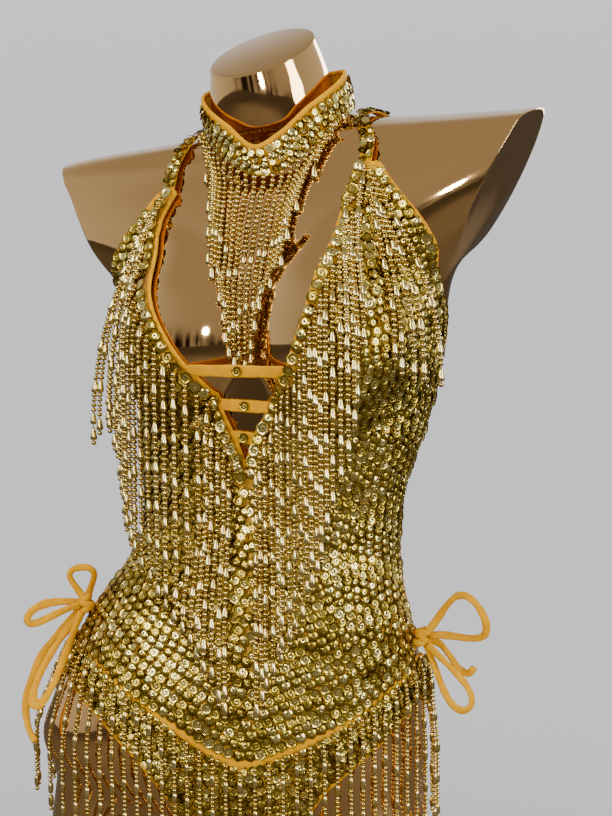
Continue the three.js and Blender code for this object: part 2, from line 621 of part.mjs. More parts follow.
function strapPath(side) {
  const mid = CLEAR + STRAP.thick / 2;
  const more = side < 0 ? STRAP.topRight : STRAP.topLeft;
  const points = [];
  const top = EDGES.at(-1);
  const start = side < 0 ? (top.innerRight + top.outerRight) / 2 : (top.innerLeft + top.outerLeft) / 2;
  points.push(skin(start, top.z + 2 * SEAM, mid));
  const ring = ringAt(700);
  const turn = ring.turn * RAD;
  const over = [
    { angle: 42, u: 87 },
    { angle: 54, u: 79 },
    { angle: 66, u: 73 },
    { angle: 80, u: 69 },
    { angle: 95, u: 67 },
    { angle: 110, u: 66 },
    { angle: 125, u: 65 },
    { angle: 140, u: 64 },
    { angle: 155, u: 63 },
    { angle: 170, u: 62 },
  ];
  for (const { angle, u } of over) {
    const wide = side * (u + (angle > 50 ? more : more / 2));
    const origin = new THREE.Vector3(
      ring.x + wide * Math.cos(turn),
      ring.y - wide * Math.sin(turn),
      690 + ring.tilt * wide * Math.cos(turn),
    );
    const [flat, rise] = [Math.cos(angle * RAD), Math.sin(angle * RAD)];
    const way = new THREE.Vector3(-Math.sin(turn) * flat, -Math.cos(turn) * flat, rise);
    points.push(rayTo(origin, way, mid - STRAP.low));
  }
  for (const z of [672, 648, 624, 602, BAND.z + BAND.height / 2 + 2 * SEAM]) {
    points.push(skin(side * (180 - 61 / ringAt(z).back / RAD), z, mid));
  }
  return points;
}

const onForm = (points) => points.map((p) => distanceTo(p).away);
for (const [name, side] of Object.entries({ right: -1, left: 1 })) {
  const path = strapPath(side);
  add(`strap_${name}`, ribbon(path, onForm(path), STRAP.width, STRAP.thick), SPANDEX);
}

function bandPlace(f, t, off) {
  const z = BAND.z + BAND.height * (t - 0.5);
  const from = along(EDGES, "outerLeft", z) + seamAngle(SEAM, 90, z);
  const to = 360 + along(EDGES, "outerRight", z) - seamAngle(SEAM, 90, z);
  return skin(from + (to - from) * f, z, off);
}
add("back_band", sheet(cloth(1, 20, bandPlace)), SPANDEX);

// Straps across the neckline, drawn straight from edge to edge.
const LADDER = [
  { name: "ladder_strap_top", right: 564, left: 560 },
  { name: "ladder_strap_middle", right: 532, left: 529 },
  { name: "ladder_strap_low", right: 505, left: 503 },
];
for (const { name, right, left } of LADDER) {
  const place = (f, t, off) => {
    const [low, high] = [right, left].map((z) => z + STRAP.width * (t - 0.5));
    const a = skin(along(EDGES, "innerRight", low) + seamAngle(2 * SEAM, 0, low), low, off);
    const b = skin(along(EDGES, "innerLeft", high) - seamAngle(2 * SEAM, 0, high), high, off);
    return f === 0 ? a : f === 1 ? b : lifted(a.lerp(b, f), off);
  };
  add(name, sheet(cloth(1, 6, place)), SPANDEX);
}

// ---------------------------------------------------------------- the collar
const COLLAR = { x: 31, y: 0, leanX: -0.16, leanY: -0.22, from: 750, radius: 63, clear: 2.5 };
const COLLAR_EDGES = [
  { phi: -180, low: 765, high: 806 },
  { phi: -120, low: 756, high: 797 },
  { phi: -67, low: 743, high: 783 },
  { phi: -22, low: 726, high: 758 },
  { phi: 0, low: 717, high: 740 },
  { phi: 22, low: 722, high: 750 },
  { phi: 54, low: 738, high: 775 },
  { phi: 113, low: 762, high: 804 },
  { phi: 180, low: 765, high: 806 },
];
function collarPoint(phi, z, radius) {
  const angle = (phi - ringAt(750).turn) * RAD;
  const rise = z - COLLAR.from;
  return new THREE.Vector3(
    COLLAR.x + COLLAR.leanX * rise + radius * Math.sin(angle),
    COLLAR.y + COLLAR.leanY * rise - radius * Math.cos(angle),
    z,
  );
}
const COLLAR_COLUMNS = 32;
function collarLow(phi) {
  let z = along(COLLAR_EDGES, "low", phi, "phi");
  while (distanceTo(collarPoint(phi, z, COLLAR.radius - CLOTH)).distance < COLLAR.clear) z += 0.5;
  return z;
}
function collarGrid(radius) {
  return Array.from({ length: 3 }, (_, j) =>
    Array.from({ length: COLLAR_COLUMNS }, (_, i) => {
      const phi = (i * 360) / COLLAR_COLUMNS - 180;
      const low = collarLow(phi);
      return collarPoint(phi, low + ((along(COLLAR_EDGES, "high", phi, "phi") - low) * j) / 2, radius);
    }),
  );
}
add("collar", wall(collarGrid(COLLAR.radius), collarGrid(COLLAR.radius - CLOTH), true), GOLD);

// ---------------------------------------------------------------- fringes
const STRAND = { radius: 1.7, step: 40 };

// A strand falls from its root, and slides over the form where that is in its way.
function drape(root, length, clear, aside) {
  const steps = Math.max(4, Math.round(length / STRAND.step));
  const step = length / steps;
  const points = [root.clone()];
  const fine = 4;
  let p = root.clone();
  for (let k = 0; k < steps; k++) {
    for (let m = 0; m < fine; m++) {
      const next = p.clone();
      next.z -= step / fine;
      const left = 1 - (k + m / fine) / steps;
      if (aside && root.z - p.z > 8) next.addScaledVector(aside, (2 * left) / (steps * fine));
      const { distance, away } = distanceTo(next);
      if (distance < clear) next.addScaledVector(away, clear - distance);
      next.sub(p).setLength(step / fine);
      p = p.clone().add(next);
    }
    points.push(p.clone());
  }
  return points;
}

function strand({ root, length, clear, aside }) {
  const path = drape(root, length, clear, aside);
  return ribbon(path, onForm(path), STRAND.radius * 2, STRAND.radius * 2, 3);
}

// A flat strip on a piece: its two edges are points of the piece, moved out.
function strip(edge, inward, out, lift) {
  const outer = [];
  const inner = [];
  edge.forEach((p, k) => {
    const across = inward[k].clone().sub(p).setLength(TRIM.width);
    const side = [p, p.clone().add(across)];
    inner.push(side.map((q) => q.clone().addScaledVector(out[k], lift)));
    outer.push(side.map((q) => q.clone().addScaledVector(out[k], lift + TRIM.thick)));
  });
  return wall(outer, inner);
}

// Points at even steps of length along a broken line.
function evenly(line, count, margin) {
  const lengths = [0];
  for (let k = 1; k < line.length; k++) lengths.push(lengths.at(-1) + line[k].distanceTo(line[k - 1]));
  const total = lengths.at(-1) - 2 * margin;
  return Array.from({ length: count }, (_, n) => {
    const s = margin + (total * n) / (count - 1);
    let k = 0;
    while (k < line.length - 2 && s > lengths[k + 1]) k++;
    return line[k].clone().lerp(line[k + 1], (s - lengths[k]) / (lengths[k + 1] - lengths[k]));
  });
}

const TRIM = { width: 5, thick: 1.4, root: 1.9 }; // root: from the strip's underside
const LIFT = { bust: 1.7, hem: 0.5, collar: 0.4 }; // from the cloth to the strip

// Both ends of a strip's lines are drawn in from a seam.
function inset(...lines) {
  for (const line of lines) {
    line[0] = line[0].clone().lerp(line[1], 0.1);
    line[line.length - 1] = line.at(-1).clone().lerp(line.at(-2), 0.1);
  }
}

// A strip and its strands as one body: each strand starts inside the strip.
function fringe(name, strips, strands) {
  add(name, fused([...strips, ...strands.map(strand)]), BEAD);
}

// Roots in the middle of a strip's thickness.
function roots(edge, inward, out, lift, count, margin) {
  const middle = edge.map((p, k) => {
    const across = inward[k].clone().sub(p).setLength(TRIM.width / 2);
    return p.clone().add(across).addScaledVector(out[k], lift + TRIM.root);
  });
  return evenly(middle, count, margin);
}

// Strands in order from the apex of the cup: how far each one is pushed aside by its neighbours.
const FANS = {
  right: { side: -1, neck: [52, 44, 35, 26, 18, 11, 6, 3], arm: [55, 58, 60], armLength: 190 },
  left: { side: 1, neck: [], arm: [4, 10, 16, 22, 27, 31], armLength: 160 },
};
const NECK_STRANDS = 18;

for (const [name, { outer: rows, out }] of Object.entries(fronts)) {
  const { side, neck: neckFan, arm: armFan, armLength } = FANS[name];
  const across = new THREE.Vector3(side * Math.cos(20 * RAD), -side * Math.sin(20 * RAD), 0);
  const last = FRONT_FRACTIONS.length - 1;
  const column = (grid, i, from) => grid.slice(from).map((row) => row[i]).reverse();
  const neckFrom = rows.findIndex((row) => row[0].z > 476);
  const armFrom = rows.findIndex((row) => row[last].z > 672);
  const neck = [column(rows, 0, neckFrom), column(rows, 1, neckFrom), column(out, 0, neckFrom), LIFT.bust];
  const arm = [column(rows, last, armFrom), column(rows, last - 1, armFrom), column(out, last, armFrom), LIFT.bust];
  const apex = [rows.at(-1), rows.at(-2), out.at(-1), LIFT.bust];
  const inner = roots(...neck, NECK_STRANDS, 4).map((root, k) => ({
    root,
    length: 200,
    clear: OUTER + (root.z < 560 ? 11 : root.z < 640 ? 8 : 5),
    aside: across.clone().multiplyScalar(neckFan[k] ?? 0),
  }));
  const outer = roots(...arm, armFan.length, 8).map((root, k) => ({
    root,
    length: armLength,
    clear: OUTER + 5,
    aside: across.clone().multiplyScalar(armFan[k]),
  }));
  fringe(`bust_fringe_${name}`, [strip(...neck), strip(...arm), strip(...apex)], [...inner, ...outer]);
}

function hemFringe(name, count, clear, ...lines) {
  inset(lines[0], lines[1]);
  const hang = roots(...lines, LIFT.hem, count, 4).map((root) => ({ root, length: 145, clear }));
  fringe(name, [strip(...lines, LIFT.hem)], hang);
}
const wholeRow = (grid, j) => [...fronts.right[grid][j]].reverse().concat(fronts.left[grid][j]);
hemFringe("hem_fringe_front", 26, OUTER + 4, wholeRow("outer", 0), wholeRow("outer", 1), wholeRow("out", 0));
const { outer: backRows, out: backOut } = briefs.back;
hemFringe("hem_fringe_back", 24, OUTER + 5, [...backRows[0]], [...backRows[1]], backOut[0]);

{
  const pitch = 360 / COLLAR_COLUMNS;
  const columns = Array.from({ length: 15 }, (_, k) => (k - 7) * pitch);
  const grid = (radius) =>
    columns.map((phi) => {
      const z = collarLow(phi) + 1;
      return [collarPoint(phi, z, radius), collarPoint(phi, z + TRIM.width, radius)];
    });
  const [near, far] = [COLLAR.radius + LIFT.collar, COLLAR.radius + LIFT.collar + TRIM.thick];
  const line = columns.slice(1, 14).map((phi) => collarPoint(phi, collarLow(phi) + 3, near + TRIM.root));
  const hang = evenly(line, 18, 1).map((root, k) => {
    const off = (k - 8.5) / 8.5;
    return {
      root,
      length: 163 - 96 * Math.abs(off) ** 2.5,
      clear: 5.5,
      aside: new THREE.Vector3(-20 * off, 0, 0),
    };
  });
  fringe("collar_fringe", [wall(grid(far), grid(near))], hang);
}

// ---------------------------------------------------------------- the ties at the hips
const TIE = { radius: 2.5, sides: 8, step: 12 };
// Knots over the side seams: angle and height on the skin, size, and the lean of the long axis towards +X.
const KNOTS = {
  right: { phi: -80, z: 338, off: 11.2, width: 11, length: 17, lean: -12 },
  left: { phi: 81, z: 331, off: 11.7, width: 11, length: 19, lean: 20 },
};
// Loops leave their knot at an angle from +X towards +Z; forward is how far the far end comes to -Y.
const LOOPS = [
  { name: "tie_right_loop_up", side: "right", angle: 96, length: 33, width: 24, forward: 6, droop: 0 },
  { name: "tie_right_loop_side", side: "right", angle: 183, length: 47, width: 15, forward: 26, droop: 6 },
  { name: "tie_right_loop_down", side: "right", angle: 238, length: 70, width: 16, forward: 52, droop: 16 },
  { name: "tie_left_loop_up", side: "left", angle: 27, length: 56, width: 46, forward: 20, droop: 0 },
  { name: "tie_left_loop_down", side: "left", angle: -57, length: 70, width: 22, forward: 18, droop: 0 },
];
const TAILS = [
  {
    name: "tie_right_tail",
    side: "right",
    rows: [
      { x: -155, y: -5, z: 339 },
      { x: -170, y: -6, z: 323 },
      { x: -185, y: -16, z: 304 },
      { x: -192, y: -22, z: 286 },
      { x: -197, y: -30, z: 264 },
      { x: -194, y: -38, z: 247 },
      { x: -187, y: -46, z: 236 },
    ],
  },
  {
    name: "tie_left_tail",
    side: "left",
    rows: [
      { x: 163, y: -22, z: 315 },
      { x: 172, y: -20, z: 304 },
      { x: 180, y: -22, z: 293 },
      { x: 188, y: -26, z: 289 },
      { x: 193, y: -28, z: 295 },
    ],
  },
];

const knotCentre = ({ phi, z, off }) => skin(phi, z, off);

function knotGeometry(knot, grow = 0) {
  const geometry = new THREE.SphereGeometry(1, 12, 8);
  geometry.scale(knot.width / 2 + grow, knot.width / 2 + grow, knot.length / 2 + grow);
  geometry.rotateY(-knot.lean * RAD);
  const at = knotCentre(knot);
  return geometry.translate(at.x, at.y, at.z);
}

// A round cord along points, cut back from its knot.
function tie(knot, points) {
  const curve = new THREE.CatmullRomCurve3(points, false, "centripetal");
  const section = new THREE.Shape(
    Array.from({ length: TIE.sides }, (_, k) => {
      const angle = (2 * Math.PI * k) / TIE.sides;
      return new THREE.Vector2(TIE.radius * Math.cos(angle), TIE.radius * Math.sin(angle));
    }),
  );
  const steps = Math.round(curve.getLength() / TIE.step);
  const cord = new THREE.ExtrudeGeometry(section, { extrudePath: curve, steps, bevelEnabled: false });
  return fromSolid(solid(cord).subtract(solid(knotGeometry(knot, 0.35))));
}

function loopPoints(knot, { angle, length, width, forward, droop }) {
  const start = knotCentre(knot);
  const [c, s] = [Math.cos(angle * RAD), Math.sin(angle * RAD)];
  return Array.from({ length: 13 }, (_, k) => {
    const t = 0.024 + (0.952 * k) / 12;
    const along = length * Math.sin(Math.PI * t) ** 0.85;
    const aside = -0.5 * width * Math.sin(2 * Math.PI * t) * (0.55 + 0.45 * Math.sin(Math.PI * t));
    const far = Math.sin(Math.PI * t);
    return new THREE.Vector3(
      start.x + c * along - s * aside,
      start.y - forward * far * far + 0.12 * aside + 2.7 * Math.cos(Math.PI * t),
      start.z + s * along + c * aside - droop * far * far,
    );
  });
}

for (const [name, knot] of Object.entries(KNOTS)) add(`tie_${name}_knot`, knotGeometry(knot), SPANDEX);
for (const loop of LOOPS) add(loop.name, tie(KNOTS[loop.side], loopPoints(KNOTS[loop.side], loop)), SPANDEX);
for (const { name, side, rows } of TAILS) {
  const points = [knotCentre(KNOTS[side]), ...rows.map((row) => new THREE.Vector3(row.x, row.y, row.z))];
  add(name, tie(KNOTS[side], points), SPANDEX);
}

// The origin is under the middle of the form and its suit, without the loose ties.
const body = new THREE.Group();
body.add(...suit.children.filter((mesh) => !mesh.name.startsWith("tie_")).map((mesh) => mesh.clone()));
const middle = new THREE.Box3().setFromObject(body, true).getCenter(new THREE.Vector3());
suit.position.set(-middle.x, -middle.y, 0);

export default suit;
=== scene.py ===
# Gold sequined bodysuit with bead fringes and a choker, shown on a chrome torso form. Metres, +Z up, facing -Y.
import math

import bmesh
import bpy
import numpy as np
from mathutils import Matrix, Vector


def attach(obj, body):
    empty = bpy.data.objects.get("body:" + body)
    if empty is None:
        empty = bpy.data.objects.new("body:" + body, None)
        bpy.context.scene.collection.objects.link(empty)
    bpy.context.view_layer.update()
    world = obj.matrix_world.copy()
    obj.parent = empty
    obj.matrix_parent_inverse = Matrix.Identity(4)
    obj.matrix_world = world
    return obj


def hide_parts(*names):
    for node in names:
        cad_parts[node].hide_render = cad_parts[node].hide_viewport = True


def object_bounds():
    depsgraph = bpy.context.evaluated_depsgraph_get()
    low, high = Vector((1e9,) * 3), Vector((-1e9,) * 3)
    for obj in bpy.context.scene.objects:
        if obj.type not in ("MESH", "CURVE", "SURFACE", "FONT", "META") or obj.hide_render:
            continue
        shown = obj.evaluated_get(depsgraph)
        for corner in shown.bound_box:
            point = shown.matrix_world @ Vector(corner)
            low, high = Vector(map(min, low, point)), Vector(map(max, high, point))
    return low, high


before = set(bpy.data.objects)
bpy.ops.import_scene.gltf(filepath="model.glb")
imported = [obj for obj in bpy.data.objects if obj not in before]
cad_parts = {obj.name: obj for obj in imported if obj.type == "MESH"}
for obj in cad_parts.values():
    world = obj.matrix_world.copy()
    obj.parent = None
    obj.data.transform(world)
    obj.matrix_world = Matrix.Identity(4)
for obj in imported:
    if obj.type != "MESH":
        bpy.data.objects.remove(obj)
cad_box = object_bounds()

# ------------------------------------------------------------------ camera
# A portrait lens at chest height, looking slightly down, and half a degree off level.
EYE, AIM = (0.04742, -1.33886, 0.66011), Vector((0.0240, 0.00354, 0.519))
SENSOR_MM, LENS_MM, ROLL = 36, 68.4, math.radians(-0.5)
bpy.ops.object.select_all(action="DESELECT")
bpy.ops.object.camera_add(location=EYE)
camera = bpy.context.object
camera.data.sensor_width = SENSOR_MM
camera.data.lens = LENS_MM
look = (AIM - camera.location).normalized()
level = look.cross((0, 0, 1)).normalized()
upright = level.cross(look)
across = level * math.cos(ROLL) + upright * math.sin(ROLL)
above = upright * math.cos(ROLL) - level * math.sin(ROLL)
turned = Matrix((across, above, -look)).transposed()
camera.rotation_euler = turned.to_euler()
camera.data.clip_start = 0.05
bpy.context.scene.camera = camera

# ------------------------------------------------------------------ hip ties
# The suit's side ties: bias-cut spandex strips folded into flat cords, each bow knotted by hand at the hip.
# They are soft, so the loops flop forward and the free tails hang and curl at their cut ends.
KNOT_RIGHT = Vector((-0.1686, -0.0161, 0.3515))
KNOT_LEFT = Vector((0.1224, -0.0314, 0.3241))
TIE_WIDE, TIE_THICK = 0.0066, 0.0034
TIE_STEP = 0.0022  # between points of a cord's line


def hex_colour(text, alpha=1.0):
    """sRGB hex to the linear colour that a shader socket takes."""
    values = [int(text[i : i + 2], 16) / 255 for i in (0, 2, 4)]
    return (*[v / 12.92 if v <= 0.04045 else ((v + 0.055) / 1.055) ** 2.4 for v in values], alpha)


def add_node(material, kind, settings=None, inputs=None, links=()):
    """One node: its own settings, its inputs' values, and links given as (output, input name or number)."""
    node = material.node_tree.nodes.new(kind)
    for key, value in (settings or {}).items():
        setattr(node, key, value)
    for key, value in (inputs or {}).items():
        node.inputs[key].default_value = value
    for output, key in links:
        material.node_tree.links.new(output, node.inputs[key])
    return node


def new_material(name):
    """A material and its principled shader."""
    material = bpy.data.materials.new(name)
    material.use_nodes = True
    return material, material.node_tree.nodes["Principled BSDF"]


# Polyester spandex jersey, dyed bright yellow-orange: nearly matt, fine knit ribs, slightly uneven dye.
spandex, shader = new_material("spandex_jersey_yellow")
shader.inputs["Roughness"].default_value = 0.6
shader.inputs["Specular IOR Level"].default_value = 0.04
place = add_node(spandex, "ShaderNodeTexCoord")
dye = add_node(spandex, "ShaderNodeTexNoise", None, {"Scale": 90, "Detail": 4},
               [(place.outputs["Object"], "Vector")])
shade = add_node(spandex, "ShaderNodeValToRGB", None, None, [(dye.outputs["Fac"], "Fac")])
shade.color_ramp.elements[0].position = 0.3
shade.color_ramp.elements[0].color = hex_colour("C48600")
shade.color_ramp.elements[1].position = 0.7
shade.color_ramp.elements[1].color = hex_colour("D69A00")
spandex.node_tree.links.new(shade.outputs["Color"], shader.inputs["Base Color"])
# Knit ribs are 0.5 mm on the real jersey; drawn at 1 mm so that they show.
ribs = add_node(spandex, "ShaderNodeTexWave", {"wave_type": "BANDS"},
                {"Scale": 160, "Distortion": 2, "Detail": 2}, [(place.outputs["Object"], "Vector")])
knit = add_node(spandex, "ShaderNodeBump", None, {"Strength": 0.22, "Distance": 0.0004},
                [(ribs.outputs["Fac"], "Height")])
spandex.node_tree.links.new(knit.outputs["Normal"], shader.inputs["Normal"])


def mesh_piece(name, verts, faces, material, smooth=True):
    """A mesh from arrays of corners and faces, as one piece that rides on the form."""
    mesh = bpy.data.meshes.new(name)
    mesh.from_pydata([tuple(v) for v in verts], [], [tuple(int(i) for i in f) for f in faces])
    mesh.materials.append(material)
    if smooth:
        mesh.shade_smooth()
    piece = bpy.data.objects.new(name, mesh)
    bpy.context.collection.objects.link(piece)
    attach(piece, "root")
    return piece


def turned_out(piece):
    """Normals recalculated outwards on a closed piece."""
    bm = bmesh.new()
    bm.from_mesh(piece.data)
    bmesh.ops.recalc_face_normals(bm, faces=bm.faces)
    bm.to_mesh(piece.data)
    bm.free()


def unit(vectors):
    """The same directions at length 1."""
    return vectors / np.linalg.norm(vectors, axis=-1, keepdims=True)


def run_along(line):
    """The distance from the start of a line to each of its points."""
    return np.concatenate([[0], np.cumsum(np.linalg.norm(np.diff(line, axis=0), axis=1))])


def read_at(distances, run, rows):
    """Rows that belong to the points of a line, read at distances along it."""
    return np.stack([np.interp(distances, run, rows[:, i]) for i in range(3)], axis=1)


def smooth_line(points, count):
    """Even points along a soft curve through the given ones."""
    p = np.array([tuple(q) for q in points], float)
    ends = np.vstack([2 * p[0] - p[1], p, 2 * p[-1] - p[-2]])
    fine = []
    for k in range(1, len(ends) - 2):
        a, b, c, d = ends[k - 1 : k + 3]
        for t in np.linspace(0, 1, 12, endpoint=False):
            square, cube = 2 * a - 5 * b + 4 * c - d, 3 * b - a - 3 * c + d
            fine.append(0.5 * (2 * b + (c - a) * t + square * t**2 + cube * t**3))
    fine.append(p[-1])
    fine = np.array(fine)
    run = run_along(fine)
    return read_at(np.linspace(0, run[-1], count), run, fine)


def band_mesh(line, out, width, thick, sides=12, square=2.6, wobble=0.0, seed=1, closed=False):
    """A soft flat band along a line: corners and faces.

    out is the way that its flat side faces. Its section is an ellipse at square 2 and boxy above that.
    """
    rng = np.random.default_rng(seed)
    n = len(line)
    if closed:
        run = np.roll(line, -1, axis=0) - np.roll(line, 1, axis=0)
    else:
        run = np.gradient(line, axis=0)
    run = unit(run)
    side = unit(np.cross(run, out))
    lift = np.cross(side, run)
    angle = (np.arange(sides) + 0.5) * 2 * math.pi / sides
    c, s = np.cos(angle), np.sin(angle)
    cx = np.sign(c) * np.abs(c) ** (2 / square)
    cy = np.sign(s) * np.abs(s) ** (2 / square)
    soft = 1 + wobble * np.convolve(rng.normal(size=n + 6), np.ones(7) / 7, "valid")[:, None]
    w = (width if np.ndim(width) else np.full(n, width))[:, None] * soft
    t = (thick if np.ndim(thick) else np.full(n, thick))[:, None] / soft
    aside = side[:, None] * (w * cx * 0.5)[..., None]
    upward = lift[:, None] * (t * cy * 0.5)[..., None]
    verts = (line[:, None] + aside + upward).reshape(-1, 3)
    faces = []
    last = n if closed else n - 1
    for k in range(last):
        m = (k + 1) % n
        for i in range(sides):
            j = (i + 1) % sides
            faces.append((k * sides + i, k * sides + j, m * sides + j, m * sides + i))
    if not closed:
        faces.append(tuple(range(sides))[::-1])
        faces.append(tuple((n - 1) * sides + i for i in range(sides)))
    return verts, faces


def tie_loop(knot, angle, length, width, forward, droop):
    """The line of one loop of a bow: out of the knot, round its soft end and back."""
    t = 0.024 + 0.952 * np.linspace(0, 1, 25)
    far = np.sin(np.pi * t)
    run = length * far**0.85
    aside = -0.5 * width * np.sin(2 * np.pi * t) * (0.55 + 0.45 * far)
    c, s = math.cos(math.radians(angle)), math.sin(math.radians(angle))
    return np.stack([
        knot.x + c * run - s * aside,
        knot.y - forward * far**2 + 0.12 * aside + 0.0027 * np.cos(np.pi * t),
        knot.z + s * run + c * aside - droop * far**2,
    ], axis=1)


TIE_LOOPS = [  # node, knot, angle from +X to +Z, length, width, forward, droop
    ("tie_right_loop_up", KNOT_RIGHT, 96, 0.033, 0.024, 0.006, 0),
    ("tie_right_loop_side", KNOT_RIGHT, 183, 0.047, 0.015, 0.026, 0.006),
    ("tie_right_loop_down", KNOT_RIGHT, 238, 0.070, 0.016, 0.052, 0.016),
    ("tie_left_loop_up", KNOT_LEFT, 27, 0.056, 0.046, 0.020, 0),
    ("tie_left_loop_down", KNOT_LEFT, -57, 0.070, 0.022, 0.018, 0),
]
TIE_TAILS = [
    ("tie_right_tail", KNOT_RIGHT, [
        (-0.1798, -0.0015, 0.339), (-0.1948, -0.0025, 0.323), (-0.2098, -0.0125, 0.304),
        (-0.2168, -0.0185, 0.286), (-0.2218, -0.0265, 0.264), (-0.2188, -0.0345, 0.247),
        (-0.2118, -0.0425, 0.236),
    ]),
    ("tie_left_tail", KNOT_LEFT, [
        (0.1382, -0.0185, 0.315), (0.1472, -0.0165, 0.304), (0.1552, -0.0185, 0.293),
        (0.1632, -0.0225, 0.289), (0.1682, -0.0245, 0.295),
    ]),
]


def line_length(line):
    """The whole length of a line."""
    return float(np.linalg.norm(np.diff(line, axis=0), axis=1).sum())


tie_lines = [(node, knot, tie_loop(knot, *rest), "object") for node, knot, *rest in TIE_LOOPS]
tie_lines += [(node, knot, np.array([tuple(knot), *rows]), "bare") for node, knot, rows in TIE_TAILS]
for seed, (node, knot, points, end) in enumerate(tie_lines):
    count = max(24, int(line_length(points) / TIE_STEP))
    line = smooth_line(points, count)
    run = unit(np.gradient(line, axis=0))
    flat = np.cross(run, np.cross(np.array([[0.25, -1, 0.15]]), run))  # the flat side looks forward
    twist = 0.5 * np.sin(np.linspace(0, 2.2 * math.pi, count) + seed)[:, None]
    flat = flat * np.cos(twist) + np.cross(run, flat) * np.sin(twist)
    verts, faces = band_mesh(line, flat, TIE_WIDE, TIE_THICK, 14, 2.3, 0.25, 20 + seed)
    cord = mesh_piece(node + "_cord", verts, faces, spandex)
    turned_out(cord)
    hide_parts(node)

# ------------------------------------------------------------------ room
# A plain pale floor, a pale room and five soft lights.
# The form's mirror finish shows a room with dimmer things in it; the camera sees an even backdrop instead.
floor_height = cad_box[0].z
bpy.ops.mesh.primitive_plane_add(size=24, location=(0, 0, floor_height))
floor = bpy.context.object
floor.name = "floor"
# Matt pale paint near the form; further off it is as bright as the backdrop, so no horizon shows.
# The mirrors see it dimmed, as they would among furniture.
BACKDROP = "EEEEF0"
floor_paint, shader = new_material("floor_paint_pale")
shader.inputs["Roughness"].default_value = 0.75
spot = add_node(floor_paint, "ShaderNodeTexCoord")
far_off = add_node(floor_paint, "ShaderNodeVectorMath", {"operation": "LENGTH"}, None,
                   [(spot.outputs["Object"], 0)])
blend = add_node(floor_paint, "ShaderNodeMapRange", {"interpolation_type": "SMOOTHSTEP"},
                 {"From Min": 0.35, "From Max": 0.95}, [(far_off.outputs["Value"], "Value")])
seen = add_node(floor_paint, "ShaderNodeLightPath")
dim = add_node(floor_paint, "ShaderNodeMix", {"data_type": "RGBA"},
               {6: hex_colour("C4C4C6"), 7: hex_colour("4E4840")}, [(seen.outputs["Is Glossy Ray"], 0)])
floor_paint.node_tree.links.new(dim.outputs[2], shader.inputs["Base Color"])
only = add_node(floor_paint, "ShaderNodeMath", {"operation": "MULTIPLY"}, None,
                [(blend.outputs["Result"], 0), (seen.outputs["Is Camera Ray"], 1)])
glow = add_node(floor_paint, "ShaderNodeEmission", None, {"Color": hex_colour(BACKDROP)})
mixed = add_node(floor_paint, "ShaderNodeMixShader", None, None,
                 [(only.outputs["Value"], 0), (shader.outputs["BSDF"], 1), (glow.outputs["Emission"], 2)])
floor_surface = floor_paint.node_tree.nodes["Material Output"].inputs["Surface"]
floor_paint.node_tree.links.new(mixed.outputs["Shader"], floor_surface)
floor.data.materials.append(floor_paint)

# The camera sees an even pale backdrop. Mirrors see the room itself: pale behind, dimmer overhead and towards
# the viewer, with darker furniture low in front.
world = bpy.data.worlds.new("pale_room")
bpy.context.scene.world = world
world.use_nodes = True
sky = world.node_tree.nodes["Background"]
where = add_node(world, "ShaderNodeTexCoord")
axis = add_node(world, "ShaderNodeSeparateXYZ", None, None, [(where.outputs["Generated"], 0)])
depth = add_node(world, "ShaderNodeMapRange", None, {"From Min": -1, "From Max": 1},
                 [(axis.outputs["Y"], "Value")])
walls = add_node(world, "ShaderNodeValToRGB", None, None, [(depth.outputs["Result"], "Fac")])
walls.color_ramp.elements[0].color = hex_colour("A39E97")
walls.color_ramp.elements[1].color = hex_colour("E2E2E6")
long_way = add_node(world, "ShaderNodeVectorMath", {"operation": "MULTIPLY"}, {1: (7, 7, 1.6)},
                    [(where.outputs["Generated"], 0)])
clutter = add_node(world, "ShaderNodeTexNoise", None, {"Scale": 1, "Detail": 3},
                   [(long_way.outputs["Vector"], "Vector")])
things = add_node(world, "ShaderNodeValToRGB", None, None, [(clutter.outputs["Fac"], "Fac")])
things.color_ramp.elements[0].position = 0.42
things.color_ramp.elements[0].color = hex_colour("1E1814")
things.color_ramp.elements[1].position = 0.6
things.color_ramp.elements[1].color = hex_colour("A09A94")
ahead = add_node(world, "ShaderNodeMapRange", {"interpolation_type": "SMOOTHSTEP"},
                 {"From Min": -0.35, "From Max": -0.7}, [(axis.outputs["Y"], "Value")])
below = add_node(world, "ShaderNodeMapRange", {"interpolation_type": "SMOOTHSTEP"},
                 {"From Min": 0.3, "From Max": 0.05}, [(axis.outputs["Z"], "Value")])
furniture = add_node(world, "ShaderNodeMath", {"operation": "MULTIPLY"}, None,
                     [(ahead.outputs["Result"], 0), (below.outputs["Result"], 1)])
furnished = add_node(world, "ShaderNodeMix", {"data_type": "RGBA"}, None,
                     [(furniture.outputs["Value"], 0), (walls.outputs["Color"], 6),
                      (things.outputs["Color"], 7)])
height = add_node(world, "ShaderNodeMapRange", {"interpolation_type": "SMOOTHSTEP"},
                  {"From Min": 0.35, "From Max": 0.8}, [(axis.outputs["Z"], "Value")])
ceiling = add_node(world, "ShaderNodeMix", {"data_type": "RGBA"}, {7: hex_colour("A8A198")},
                   [(height.outputs["Result"], 0), (furnished.outputs[2], 6)])
rise = add_node(world, "ShaderNodeMapRange", None, {"From Min": 0.0, "From Max": 0.16},
                [(axis.outputs["Z"], "Value")])
backdrop = add_node(world, "ShaderNodeMix", {"data_type": "RGBA"},
                    {6: hex_colour(BACKDROP), 7: hex_colour("F6F6F6")}, [(rise.outputs["Result"], 0)])
seen = add_node(world, "ShaderNodeLightPath")
either = add_node(world, "ShaderNodeMix", {"data_type": "RGBA"}, None,
                  [(seen.outputs["Is Camera Ray"], 0), (ceiling.outputs[2], 6), (backdrop.outputs[2], 7)])
world.node_tree.links.new(either.outputs[2], sky.inputs["Color"])


